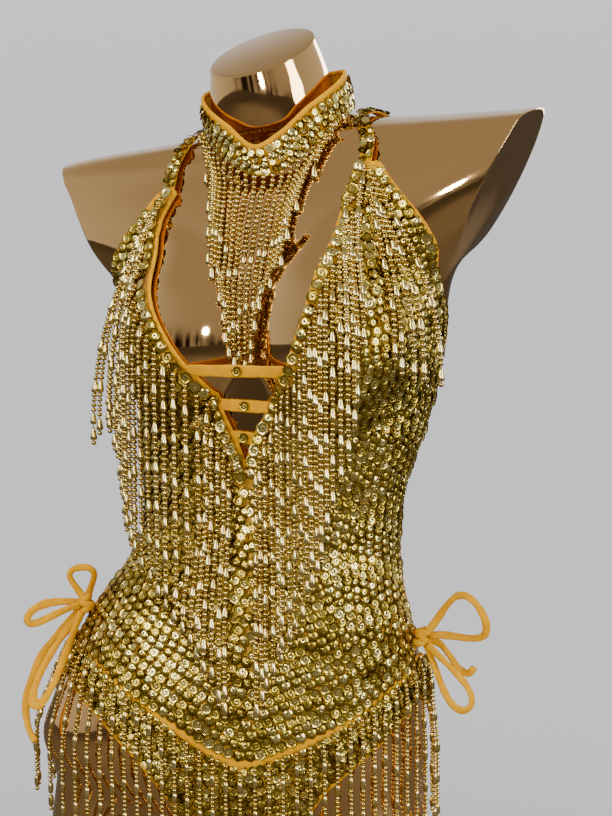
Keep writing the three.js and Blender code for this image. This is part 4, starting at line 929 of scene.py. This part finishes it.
# The pressing leaves a faint unevenness, about 4 mm from crest to crest.
place = add_node(film, "ShaderNodeTexCoord")
dimple = add_node(film, "ShaderNodeTexNoise", None, {"Scale": 240, "Detail": 1},
                  [(place.outputs["Object"], "Vector")])
pressed = add_node(film, "ShaderNodeBump", None, {"Strength": 0.1, "Distance": 0.0004},
                   [(dimple.outputs["Fac"], "Height")])
film.node_tree.links.new(pressed.outputs["Normal"], shader.inputs["Normal"])


def sampled_rows(points, normals, row_gap, pitch, margins, rng, stagger=(0, 0.5)):
    """Staggered places along the rows of a panel, with the ways out and up.

    margins(z) gives the bare strips at a row's start, at its end and below the first row.
    """
    rows, cols = points.shape[:2]
    column = points[:, cols // 2]
    climb = run_along(column)
    places, outs, ups = [], [], []
    at, k = margins(column[0, 2])[2], 0
    while at < climb[-1] - 4:
        row = np.interp(at, climb, np.arange(rows))
        j = min(int(row), rows - 2)
        u = row - j
        line = points[j] * (1 - u) + points[j + 1] * u
        out = normals[j] * (1 - u) + normals[j + 1] * u
        up = points[j + 1] - points[j]
        first, last, _ = margins(line[:, 2].mean())
        run = run_along(line)
        at += row_gap(line[:, 2].mean())
        k += 1
        n = int(round((run[-1] - first - last) / pitch - stagger[k % 2]))
        if n < 1:
            continue
        s = first + (run[-1] - first - last) * (np.arange(n + 1) + stagger[k % 2]) / (n + stagger[k % 2])
        s = s + rng.normal(0, 0.3, n + 1)
        places.append(read_at(s, run, line))
        outs.append(read_at(s, run, out))
        ups.append(read_at(s, run, up))
    return [np.concatenate(a) for a in (places, outs, ups)]


def lie(places, amount):
    """How the cloth leans its sequins from place to place, so that neighbours catch the light together."""
    x, z = places[:, 0], places[:, 2]
    return amount * (np.sin(x / 17 + np.sin(z / 31)) + np.sin(z / 23 + x / 41 + 1.3)) / 2


rng = np.random.default_rng(7)
sequins = [cup_sequin(0.0053, depth, 0.0009) for depth in (0.0010, -0.0008)]
SEWN = {  # row gap, pitch, size, leaning at random in radians
    "front_right": (7.2, 8.9, 1.02, 0.06),
    "front_left": (7.2, 8.9, 1.02, 0.06),
    "brief_front": (6.3, 7.4, 0.82, 0.13),
    "brief_back": (7.2, 8.8, 0.97, 0.08),
    "gusset_front": (6.8, 7.8, 0.86, 0.1),
    "gusset_back": (6.8, 8.0, 0.9, 0.08),
}
for name, (row_gap, pitch, size, jitter) in SEWN.items():
    points, normals = panel_maps[name]
    if name.startswith("front_"):
        # The rows open a little towards the hem, and run close to the centre seam under the neckline.
        gap = lambda z, row_gap=row_gap: row_gap + 1.3 * min(1, max(0, (400 - z) / 110))
        seam = 0.8 if name == "front_right" else -0.8
        bare = lambda z, seam=seam: (seam if z < 482 else 10, 6.8 if z < 560 else 3.4, 5.2)
    else:
        gap = lambda z, row_gap=row_gap: row_gap
        bare = lambda z: (4.5, 4.5, 7.0)
    stagger = (1, 0.5) if name == "front_left" else (0, 0.5)
    places, out, up = sampled_rows(points, normals, gap, pitch, bare, rng, stagger)
    if not name.startswith("front_"):
        up = -up
    out = unit(out)
    lift = OUTER + 1.9 + rng.uniform(0, 0.5, len(places)) + ripples(places, RIPPLE)
    axes = leaned(out, up, rng, 0.12 + lie(places, 0.13), jitter)
    sizes = size * rng.uniform(0.95, 1.05, len(places))
    scattered(f"{name}_sequins", sequins, to_frame(places + out * lift[:, None]), axes, sizes,
                            rng.uniform(0.2, 0.8, len(places)), film)
# A panel is cut out of a rectangle of 3 to 5 that is 1.35 times its area, and is worn stretched by 2 %.
CUT_WIDE, CUT_TALL, UNSTRETCHED = 0.9, 1.5, 0.98
for name, (panel, area) in cloth_pieces.items():
    wide, tall = math.sqrt(area) * CUT_WIDE, math.sqrt(area) * CUT_TALL

# ------------------------------------------------------------------ bindings
# Every raw edge is bound with a folded strip of the same spandex, 4.6 mm wide on the fronts and 5.2 mm round
# the legs, topstitched. The V hem has an 8 mm band that shows between the panels' sequins and the fringe as
# a scalloped yellow line.
BOUND_FRONT, BOUND_LEG, BOUND_THICK = 0.0046, 0.0052, 0.0030


def binding(name, points, normals, off, width, thick, seed):
    """A folded strip along an edge, off millimetres out from the skin."""
    verts, faces = band_mesh(to_frame(points + normals * off), normals, width, thick, 10, 2.6, 0.3, seed)
    piece = mesh_piece(name, verts, faces, spandex)
    turned_out(piece)


def resampled(points, normals, step=4.0):
    """A line and its normals at even steps."""
    run = run_along(points)
    s = np.linspace(0, run[-1], max(4, int(run[-1] / step)))
    return read_at(s, run, points), read_at(s, run, normals)


for word in ("right", "left"):
    points, normals = panel_maps[f"front_{word}"]
    start = int(np.argmax(points[:, 0, 2] > V_POINT))
    for seed, (label, p, n) in enumerate((
        ("neck", points[start:, 0], normals[start:, 0]),
        ("side", points[:, -1], normals[:, -1]),
        ("point", points[-1, :], normals[-1, :]),
    )):
        binding(f"front_{word}_{label}_binding", *resampled(p, n), MIDDLE, BOUND_FRONT, BOUND_THICK, seed + 3)
for word in ("front", "back"):
    points, normals = panel_maps[f"brief_{word}"]
    strip_points, strip_normals = panel_maps[f"gusset_{word}"]
    first = strip_starts[word]
    # From the hip along the leg edge to the strip, and down the strip's side.
    ends = (("right", slice(0, first + 1), 0, 1), ("left", slice(first + STRIP - 1, None), -1, -1))
    for seed, (label, cols, strip_col, way) in enumerate(ends):
        p = np.concatenate([points[-1, cols][::way], strip_points[1:, strip_col]])
        n = np.concatenate([normals[-1, cols][::way], strip_normals[1:, strip_col]])
        binding(f"brief_{word}_{label}_leg_binding", *resampled(p, n), MIDDLE, BOUND_LEG, BOUND_THICK, seed + 9)
hem_front = np.concatenate([panel_maps["front_right"][0][0, ::-1], panel_maps["front_left"][0][0]])
hem_front_out = np.concatenate([panel_maps["front_right"][1][0, ::-1], panel_maps["front_left"][1][0]])
line, out = resampled(hem_front, hem_front_out)
binding("hem_band_front", line - [0, 0, 2.4], out, OUTER + 0.2, 0.0082, 0.0022, 15)
hem_back, hem_back_out = resampled(panel_maps["brief_back"][0][0], panel_maps["brief_back"][1][0])
binding("hem_band_back", hem_back, hem_back_out, MIDDLE, 0.0062, BOUND_THICK, 16)

# ------------------------------------------------------------------ straps
# Spandex rouleau straps, folded flat: two over the shoulders to the back band, three across the V neck.
# The shoulder straps and the middle of each neck strap carry sequins.
STRAPS = {  # from the shoulder point over the shoulder to the back band
    "strap_right": [
        (-91.1, -7.7, 705.8), (-87.5, 0.1, 725.5), (-80.9, 5.2, 740.3), (-70.7, 13.9, 752.4),
        (-59.9, 29.0, 759.4), (-49.9, 47.6, 763.8), (-40.1, 68.0, 763.3), (-31.6, 85.5, 751.8),
        (-25.3, 97.8, 734.5), (-19.9, 108.1, 716.5), (-16.1, 114.4, 696.3), (-16.6, 120.5, 668.7),
        (-14.3, 121.1, 645.0), (-13.8, 117.5, 621.6), (-13.0, 114.8, 599.8), (-14.0, 112.2, 580.7),
    ],
    "strap_left": [
        (74.7, -78.3, 724.8), (77.2, -68.9, 745.6), (73.5, -58.4, 757.3), (73.1, -43.9, 763.7),
        (75.9, -27.2, 769.3), (81.5, -8.9, 771.8), (88.5, 10.1, 771.3), (96.0, 30.4, 766.7),
        (100.3, 43.1, 749.4), (104.3, 55.1, 732.1), (106.4, 62.6, 711.8), (114.4, 65.0, 683.4),
        (111.0, 68.0, 656.6), (106.5, 66.4, 630.7), (106.0, 64.3, 607.8), (104.9, 61.7, 587.7),
    ],
}


def strap_facing(line, spread):
    """The ways out from the form along a strap, evened out over spread points to each side."""
    _, out = away_from(line, ring_gap)
    window = np.ones(2 * spread + 1) / (2 * spread + 1)
    smooth = [np.convolve(np.pad(out[:, i], spread, "edge"), window, "valid") for i in range(3)]
    return unit(np.stack(smooth, axis=1))


def strap_piece(name, line, out, size, sides, square, wobble, seed):
    """A folded jersey strip along a line in the frame's metres. size is its width and its thickness."""
    verts, faces = band_mesh(line, out, *size, sides, square, wobble, seed)
    strap = mesh_piece(name + "_jersey", verts, faces, spandex)
    turned_out(strap)
    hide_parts(name)
    return strap


SHOULDER_STRAP, LADDER_STRAP, BACK_BAND = (0.0102, 0.0017), (0.0101, 0.0016), (0.0140, 0.0018)
for seed, (name, rows) in enumerate(STRAPS.items()):
    line = smooth_line(np.array(rows), 110)
    out = strap_facing(line - SHIFT, 4)
    strap = strap_piece(name, line * MM, out, SHOULDER_STRAP, 12, 4, 0.12, 30 + seed)
    # Sequins in two rows, taking turns from side to side.
    run = run_along(line)
    s = np.arange(4, run[-1] - 3, 3.4)
    places, facing = read_at(s, run, line), read_at(s, run, out)
    up = read_at(s, run, np.gradient(line, axis=0))
    across_strap = unit(np.cross(up, facing))
    places = places + facing * 2.3 + across_strap * (np.where(np.arange(len(s)) % 2, 2.9, -2.9))[:, None]
    axes = leaned(facing, up, rng, 0.12, 0.16)
    row = scattered(name + "_sequins", sequins, places * MM, axes, rng.uniform(0.7, 0.8, len(s)),
                    rng.random(len(s)), film)

# Each neck strap runs straight between the panels' edges, and bends only where the breastbone is in its way.
LADDER = {"ladder_strap_top": (564, 560), "ladder_strap_middle": (532, 529), "ladder_strap_low": (505, 503)}
OFF_SKIN = 2.6
for seed, (name, (right, left)) in enumerate(LADDER.items()):
    a = skin(along(EDGES, 1, right), np.float64(right), np.float64(OFF_SKIN))[0]
    b = skin(along(EDGES, 2, left), np.float64(left), np.float64(OFF_SKIN))[0]
    line = a + (b - a) * np.linspace(0, 1, 40)[:, None]
    for _ in range(6):
        gap, away = away_from(line, ring_gap)
        line = line + away * np.maximum(OFF_SKIN - gap, 0)[:, None]
    out = strap_facing(line, 5)
    strap = strap_piece(name, to_frame(line), out, LADDER_STRAP, 12, 4, 0.1, 40 + seed)
    middle = to_frame(line[20] + out[20] * 2.2)[None]
    axes = leaned(out[20][None], np.array([[0, 0, 1.0]]), rng, 0, 0.05)
    dot = scattered(name + "_sequin", sequins[1:], middle, axes, np.array([0.9]), np.array([0.4]), film)

BAND_LEVEL = 575.0
from_phi, to_phi = along(EDGES, 4, BAND_LEVEL) + 0.25, 360 + along(EDGES, 3, BAND_LEVEL) - 0.25
share = np.linspace(0, 1, 90)
points, normals = skin(from_phi + (to_phi - from_phi) * share, np.full(90, BAND_LEVEL), np.full(90, 2.8))
back_band = strap_piece("back_band", to_frame(points), normals, BACK_BAND, 14, 5, 0.06, 50)

# ------------------------------------------------------------------ choker
# A shaped collar: sequined net outside, orange jersey lining inside, bound along its top, deeper behind.
COLLAR = np.array([  # angle, low, high
    (-180, 765, 806), (-120, 768, 797), (-67, 756, 783), (-22, 726, 758), (0, 717, 740), (22, 722, 750),
    (54, 746, 775), (113, 775, 804), (180, 765, 806),
], float)
COLLAR_OUT, COLLAR_IN = 63.0, 61.4  # radii of its two faces
COLLAR_TURN = 23  # how far its front is turned, as the form's chest is


def collar_place(phi, z, radius):
    """A point round the neck, on a cone that leans back and aside as the neck does."""
    angle = np.radians(phi - COLLAR_TURN)
    rise = z - 750
    x, y = 31 - 0.16 * rise + radius * np.sin(angle), -0.22 * rise - radius * np.cos(angle)
    return np.stack([x, y, z], axis=-1)


turns = np.linspace(-180, 180, 145)
share = np.linspace(0, 1, 11)[:, None]
low, high = along(COLLAR, 1, turns), along(COLLAR, 2, turns)
z = low + (high - low) * share
phi = np.broadcast_to(turns, z.shape)
outer, inner = collar_place(phi, z, COLLAR_OUT), collar_place(phi, z, COLLAR_IN)
verts, faces = rim_wall(to_frame(outer), to_frame(inner))
collar = mesh_piece("collar_cloth", verts, faces, spandex)
# Its two ends meet at the back, and are welded there.
bm = bmesh.new()
bm.from_mesh(collar.data)
bmesh.ops.remove_doubles(bm, verts=bm.verts, dist=0.00001)
bmesh.ops.recalc_face_normals(bm, faces=bm.faces)
bm.to_mesh(collar.data)
bm.free()
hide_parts("collar")
facing_angle = np.radians(phi - COLLAR_TURN)
out = np.stack([np.sin(facing_angle), -np.cos(facing_angle), np.full(phi.shape, 0.1)], axis=-1)
places, facing, up = sampled_rows(outer, out, lambda z: 5.1, 7.8, lambda z: (0, 0, 3.6), rng)
facing = unit(facing)
axes = leaned(facing, up, rng, 0.14, 0.16)
collar_sequins = scattered("collar_sequins", sequins, to_frame(places + facing * 1.9), axes,
                           rng.uniform(0.75, 0.95, len(places)), rng.uniform(0.35, 1, len(places)), film)
line, rim_facing = resampled(collar_place(turns, high + 0.3, (COLLAR_OUT + COLLAR_IN) / 2), out[-1])
verts, faces = band_mesh(to_frame(line), rim_facing, 0.0046, 0.0032, 10, 2.4, 0.2, 60)
collar_binding = mesh_piece("collar_binding", verts, faces, spandex)
turned_out(collar_binding)

# ------------------------------------------------------------------ bead fringes
# Strands of metallised gold beads on polyester thread, sewn under the edges so that they hang free and swing.
# Bust strands mix round beads with teardrops, hip strands mix them with bugles, and the choker's are nearly all
# round.


def turned_bead(profile, sides):
    """A small bead lathed from (radius, height) rows from its foot to its top, closed at both ends."""
    angle = np.arange(sides) * 2 * math.pi / sides
    verts = np.concatenate([np.stack([r * np.cos(angle), r * np.sin(angle), np.full(sides, h)], axis=1)
                            for r, h in profile])
    faces = []
    for k in range(len(profile) - 1):
        for i in range(sides):
            j = (i + 1) % sides
            faces.append((k * sides + i, k * sides + j, (k + 1) * sides + j, (k + 1) * sides + i))
    top = (len(profile) - 1) * sides
    faces += [tuple(range(sides))[::-1], tuple(range(top, top + sides))]
    return verts, in_threes(faces), np.zeros(len(verts))


def round_profile(radius, tall, count=5):
    """The rows of a round bead, flattened a little at its two holes."""
    angle = np.linspace(-0.45 * math.pi, 0.45 * math.pi, count)
    return [(radius * math.cos(a), tall * math.sin(a)) for a in angle]


BEADS = {  # shape, length along the thread in mm
    "round": (turned_bead(round_profile(0.0025, 0.0021), 9), 4.15),
    "small": (turned_bead(round_profile(0.0021, 0.0018), 8), 3.6),
    "drop": (turned_bead([(0.0010, -0.0055), (0.0024, -0.0051), (0.0031, -0.0036), (0.0029, -0.0018),
                          (0.0018, 0.0038), (0.0010, 0.0055)], 10), 11.0),
    "bugle": (turned_bead([(0.0011, -0.0050), (0.0020, -0.0040), (0.0024, -0.0013), (0.0024, 0.0013),
                           (0.0020, 0.0040), (0.0011, 0.0050)], 10), 10.0),
}
BEAD_GAP = 0.1

# Acrylic beads under vacuum metallising and a tinted lacquer: bright gold with pale highlights and brown
# depths.
plated, shader = new_material("metallised_bead_gold")
shader.inputs["Metallic"].default_value = 1.0
shader.inputs["Coat Weight"].default_value = 0.25
shader.inputs["Coat Roughness"].default_value = 0.04
shader.inputs["Coat Tint"].default_value = hex_colour("FFE9B0")
piece_tone = add_node(plated, "ShaderNodeAttribute", {"attribute_name": "tone"})
shade = add_node(plated, "ShaderNodeValToRGB", None, None, [(piece_tone.outputs["Fac"], "Fac")])
shade.color_ramp.elements[0].color = hex_colour("C9AD4C")
shade.color_ramp.elements[1].color = hex_colour("E9DC9C")
plated.node_tree.links.new(shade.outputs["Color"], shader.inputs["Base Color"])
place = add_node(plated, "ShaderNodeTexCoord")
rubbed = add_node(plated, "ShaderNodeTexNoise", None, {"Scale": 160, "Detail": 2},
                  [(place.outputs["Object"], "Vector")])
gloss = add_node(plated, "ShaderNodeMapRange", None, {"To Min": 0.1, "To Max": 0.28},
                 [(rubbed.outputs["Fac"], "Value")])
plated.node_tree.links.new(gloss.outputs["Result"], shader.inputs["Roughness"])

# Polyester sewing thread in two plies, matt beside the beads and drawn 0.8 mm thick so that it shows.
thread, shader = new_material("polyester_thread_gold")
shader.inputs["Roughness"].default_value = 0.6
place = add_node(thread, "ShaderNodeTexCoord")
# Darker and paler diagonal bands along the thread: painted shade between the twisted plies, and painted light
# on their crests.
twist = add_node(thread, "ShaderNodeTexWave", {"wave_type": "BANDS", "bands_direction": "DIAGONAL"},
                 {"Scale": 130}, [(place.outputs["Object"], "Vector")])
shade = add_node(thread, "ShaderNodeValToRGB", None, None, [(twist.outputs["Fac"], "Fac")])
shade.color_ramp.elements[0].color = hex_colour("5E4A16")
shade.color_ramp.elements[1].color = hex_colour("A08438")
thread.node_tree.links.new(shade.outputs["Color"], shader.inputs["Base Color"])


def drape(roots, lengths, clear, aside, step=9.0):
    """Strands fall from their roots, clear millimetres off the form where it is in their way."""
    steps = int(round(max(lengths) / step))
    pace = (np.asarray(lengths, float) / steps)[:, None]
    p = roots.copy()
    lines = [p.copy()]
    for k in range(steps):
        left = 1 - k / steps
        free = (roots[:, 2] - p[:, 2] > 8)[:, None]
        nxt = p + np.array([0, 0, -1.0]) * pace + aside * free * (2 * left / steps)
        gap, away = away_from(nxt)
        nxt = nxt + away * np.maximum(clear - gap, 0)[:, None]
        way = nxt - p
        p = p + way / np.linalg.norm(way, axis=1, keepdims=True) * pace
        lines.append(p.copy())
    return np.stack(lines, axis=1)


THREAD_SECTION = np.array([(1, 0, 0), (0, 1, 0), (-1, 0, 0), (0, -1, 0)]) * 0.42


def strung(name, lines, pattern, rng, ends):
    """Beads in a repeating order down every line, with the thread through them. name is the fringe's node."""
    found = {kind: ([], []) for kind in BEADS}  # the places and the ways up of each kind
    thread_verts, thread_faces, base = [], [], 0
    for line in lines:
        sway = np.cumsum(rng.normal(0, 0.1, (len(line), 2)), axis=0) * np.linspace(0, 1, len(line))[:, None]
        line = line + np.column_stack([sway[:, 0], -np.abs(sway[:, 1]) * 0.5, np.zeros(len(line))])
        run = run_along(line)
        s = 2.0
        for kind in pattern(rng, run[-1]):
            long = BEADS[kind][1]
            if s + long > run[-1]:
                break
            top, middle, foot = read_at([s, s + long / 2, s + long], run, line)
            found[kind][0].append(middle)
            found[kind][1].append((top - foot) / max(1e-6, np.linalg.norm(top - foot)))
            s += long + BEAD_GAP
        tail = read_at([min(s + 3, run[-1])], run, line)[0]
        for kind in ends:
            long = BEADS[kind][1]
            found[kind][0].append(tail - [0, 0, long / 2])
            found[kind][1].append(np.array([0, 0, 1.0]))
            tail = tail - [0, 0, long + 0.2]
        keep = run <= min(s + 3, run[-1])
        path = np.vstack([line[keep], tail])
        thread_verts.append((path[:, None] + THREAD_SECTION[None]).reshape(-1, 3))
        last = base + (len(path) - 1) * 4
        thread_faces += [[v + base for v in f] for f in grid_faces(len(path), 4, True)]
        thread_faces += [[base + 3, base + 2, base + 1, base], [last + i for i in range(4)]]
        base += len(path) * 4
    for kind, (places, ups) in found.items():
        if not places:
            continue
        places, ups = np.array(places), np.array(ups)
        side = unit(np.cross(ups, np.array([0.3, 1.0, 0.1])))
        axes = np.stack([side, np.cross(ups, side), ups], axis=1)
        # The long beads took the metal paler than the round ones.
        tones = (0.5, 1) if kind in ("drop", "bugle") else (0, 0.7)
        tone = rng.uniform(*tones, len(places))
        beads = scattered(f"{name}_{kind}_beads", [BEADS[kind][0]], to_frame(places), axes,
                          rng.uniform(0.94, 1.06, len(places)), tone, plated, True)
    cord = mesh_piece(f"{name}_thread", to_frame(np.concatenate(thread_verts)), thread_faces, thread)
    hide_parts(name)


def evenly(line, normals, count, margin):
    """Even places along a line, from margin after its start to margin before its end, and the normals there."""
    run = run_along(line)
    s = np.linspace(margin, run[-1] - margin, count)
    return read_at(s, run, line), read_at(s, run, normals)


def strung_length(order):
    """How much thread an order of beads takes."""
    return sum(BEADS[kind][1] + BEAD_GAP for kind in order)


def bust_order(rng, long):
    """Teardrops, each after four to six round beads."""
    order = ["round"] * int(rng.integers(1, 8))
    while strung_length(order) < long:
        order += ["drop"] + ["round"] * int(rng.choice([4, 5, 5, 6]))
    return order


def hem_order(rng, long):
    """Bugles, each after five small round beads."""
    order = ["small"] * int(rng.integers(2, 8))
    while strung_length(order) < long:
        order += ["bugle"] + ["small"] * 5
    return order


def collar_order(rng, long):
    """Round beads, with a bugle now and then in the lower part."""
    order = []
    while strung_length(order) < long:
        order += ["round"] * int(rng.integers(6, 10))
        if len(order) > 14:
            order += ["bugle"]
    return order


def set_in(points, normals, distance, last=False):
    """The line on a panel a fixed distance in from its first column, or from its last."""
    if last:
        points, normals = points[:, ::-1], normals[:, ::-1]
    step = np.linalg.norm(np.diff(points, axis=1), axis=2)
    run = np.concatenate([np.zeros((len(points), 1)), np.cumsum(step, axis=1)], axis=1)
    place = np.array([np.interp(distance, r, np.arange(len(r))) for r in run])
    i = np.minimum(place.astype(int), points.shape[1] - 2)
    u, rows = (place - i)[:, None], np.arange(len(points))
    return [a[rows, i] * (1 - u) + a[rows, i + 1] * u for a in (points, normals)]


NECK_STRANDS, STRAND_PITCH, BUST_LONG = 23, 7.9, 200
FAN_WAY = math.radians(20)  # how far forward of straight aside the strands spread
# Along each neckline the strands hang from the shoulder point to the V, and a few more from the armhole's top.
# neck_reach is the x that the outermost strand spreads to, neck_top its length, and arm_fan how far the strands
# at the armhole spread.
for word, side, neck_reach, neck_top, arm_fan, arm_low, arm_length in (
    ("right", -1, -122, BUST_LONG, [55, 58, 60], 672, 190),
    ("left", 1, None, 110, [24, 31, 39, 47, 55], 694, 150),
):
    points, normals = panel_maps[f"front_{word}"]
    away = np.array([side * math.cos(FAN_WAY), -side * math.sin(FAN_WAY), 0])
    start, arm_start = int(np.argmax(points[:, 0, 2] > V_POINT)), int(np.argmax(points[:, -1, 2] > arm_low))
    line, out = set_in(points[start:], normals[start:], 9.5)
    roots, outs = evenly(line[::-1], out[::-1], NECK_STRANDS, 4)
    roots = roots + outs * (OUTER + 3.2)
    fan = np.zeros((NECK_STRANDS, 1))
    if neck_reach is not None:
        # The strands fan out sideways until they hang side by side.
        hang = neck_reach + STRAND_PITCH * np.arange(NECK_STRANDS)
        fan[:, 0] = np.maximum(0, roots[:, 0] - hang) / math.cos(FAN_WAY)
    clear = OUTER + np.where(roots[:, 2] < 560, 9, np.where(roots[:, 2] < 640, 7, 5))
    long = np.interp(np.arange(NECK_STRANDS), [0, 4, 9], [neck_top, (neck_top + BUST_LONG) / 2, BUST_LONG])
    inner_lines = drape(roots, long, clear, fan * away)
    line, out = set_in(points[arm_start:], normals[arm_start:], 8.0, True)
    arm_roots, arm_outs = evenly(line[::-1], out[::-1], len(arm_fan), 8)
    arm_roots = arm_roots + arm_outs * (OUTER + 3.2)
    outer_lines = drape(arm_roots, [arm_length] * len(arm_fan), np.full(len(arm_fan), OUTER + 5),
                        np.array(arm_fan, float)[:, None] * away)
    strung(f"bust_fringe_{word}", list(inner_lines) + list(outer_lines), bust_order, rng, ["drop", "round"])

HEM_LONG = 135
for name, line, out, count, under, clear in (
    ("hem_fringe_front", *resampled(hem_front, hem_front_out, 2.0), 30, 3, OUTER + 4.6),
    ("hem_fringe_back", hem_back, hem_back_out, 26, 2, OUTER + 5.0),
):
    roots, outs = evenly(line, out, count, 6)
    roots = roots + outs * (OUTER + 2.2) - [0, 0, under]
    lines = drape(roots, [HEM_LONG] * count, np.full(count, clear), np.zeros((count, 3)))
    strung(name, lines, hem_order, rng, ["bugle", "small"])

# The choker's strands are longest in the middle, and draw together into a point as they fall.
CHOKER_STRANDS, LONGEST, SHORTER_ASIDE, DRAW_IN = 21, 160, 112, 27
turns = np.linspace(-67.5, 67.5, 60)
line = collar_place(turns, along(COLLAR, 1, turns) + 3, 65.4)
roots, _ = evenly(line, np.zeros_like(line), CHOKER_STRANDS, 1)
off = (np.arange(CHOKER_STRANDS) - 10) / 10
drawn = np.column_stack([-DRAW_IN * off, 0 * off, 0 * off])
lines = drape(roots, LONGEST - SHORTER_ASIDE * np.abs(off) ** 1.7, np.full(CHOKER_STRANDS, 6.0), drawn)
strung("collar_fringe", lines, collar_order, rng, ["drop"])

# ------------------------------------------------------------------ edge sequins
# A single row of 11 mm sequins sewn over the neckline's binding and the roots of the strands, facing out.
edge_sequins = [cup_sequin(0.0058, depth, 0.0012) for depth in (0.0010, -0.0009)]
for word in ("right", "left"):
    points, normals = panel_maps[f"front_{word}"]
    start = int(np.argmax(points[:, 0, 2] > 470))
    line, out = set_in(points[start:], normals[start:], 4.6)
    count = int(np.linalg.norm(np.diff(line, axis=0), axis=1).sum() / 9.4)
    places, out = evenly(line, out, count, 3)
    up = np.gradient(places, axis=0)
    axes = leaned(unit(out), up, rng, 0.05, 0.15)
    row = scattered(f"front_{word}_neck_sequins", edge_sequins, to_frame(places + out * (OUTER + 5.2)), axes,
                    rng.uniform(0.95, 1.05, count), rng.uniform(0.3, 1, count), film)

# Three more close the point of the V, over the seam.
points, out = skin(np.array([-1.2, 1.4, 0.2]), np.array([480.0, 471.0, 488.0]), np.full(3, OUTER + 5.5))
axes = leaned(out, np.tile([0, 0, 1.0], (3, 1)), rng, 0.05, 0.12)
row = scattered("neck_point_sequins", edge_sequins, to_frame(points), axes, np.ones(3),
                np.array([0.8, 0.6, 0.7]), film)

# ------------------------------------------------------------------ hip knots
# Where each pair of ties crosses, the cords wrap twice round each other and are pulled tight.
WRAPS = ((-0.0042, 0.35, 0.0048), (0.0004, -0.45, 0.0054), (0.0046, 0.25, 0.0046))  # height, tilt, radius
CORE = np.array([3, 6, 8, 8.6, 8.8, 8.6, 8, 6, 3]) * MM  # widths of the cord bunched inside, from foot to top
for word, knot, lean, tall in (("right", KNOT_RIGHT, -12, 0.0085), ("left", KNOT_LEFT, 20, 0.0095)):
    parts_verts, parts_faces, base = [], [], 0
    for turn, (height, tilt, wide) in enumerate(WRAPS):
        angle = np.linspace(0, 2 * math.pi, 41)[:-1]
        ring = np.column_stack([wide * np.cos(angle), wide * 0.9 * np.sin(angle),
                                height + tilt * wide * np.cos(angle)])
        out = np.column_stack([np.cos(angle), np.sin(angle), 0 * angle])
        verts, faces = band_mesh(ring, out, 0.0058, 0.0040, 12, 2.3, 0.15, 70 + turn, closed=True)
        parts_verts.append(verts)
        parts_faces += [tuple(i + base for i in f) for f in faces]
        base += len(verts)
    core = np.column_stack([np.zeros((9, 2)), np.linspace(-tall, tall, 9)])
    verts, faces = band_mesh(core, np.tile([0, -1.0, 0], (9, 1)), CORE, CORE, 12, 2.0, 0, 80)
    parts_verts.append(verts)
    parts_faces += [tuple(i + base for i in f) for f in faces]
    swing = np.array(Matrix.Rotation(math.radians(lean), 3, "Y"))
    verts = np.concatenate(parts_verts) @ swing.T + np.array(knot)
    piece = mesh_piece(f"tie_{word}_knot_wraps", verts, parts_faces, spandex)
    turned_out(piece)
    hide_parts(f"tie_{word}_knot")
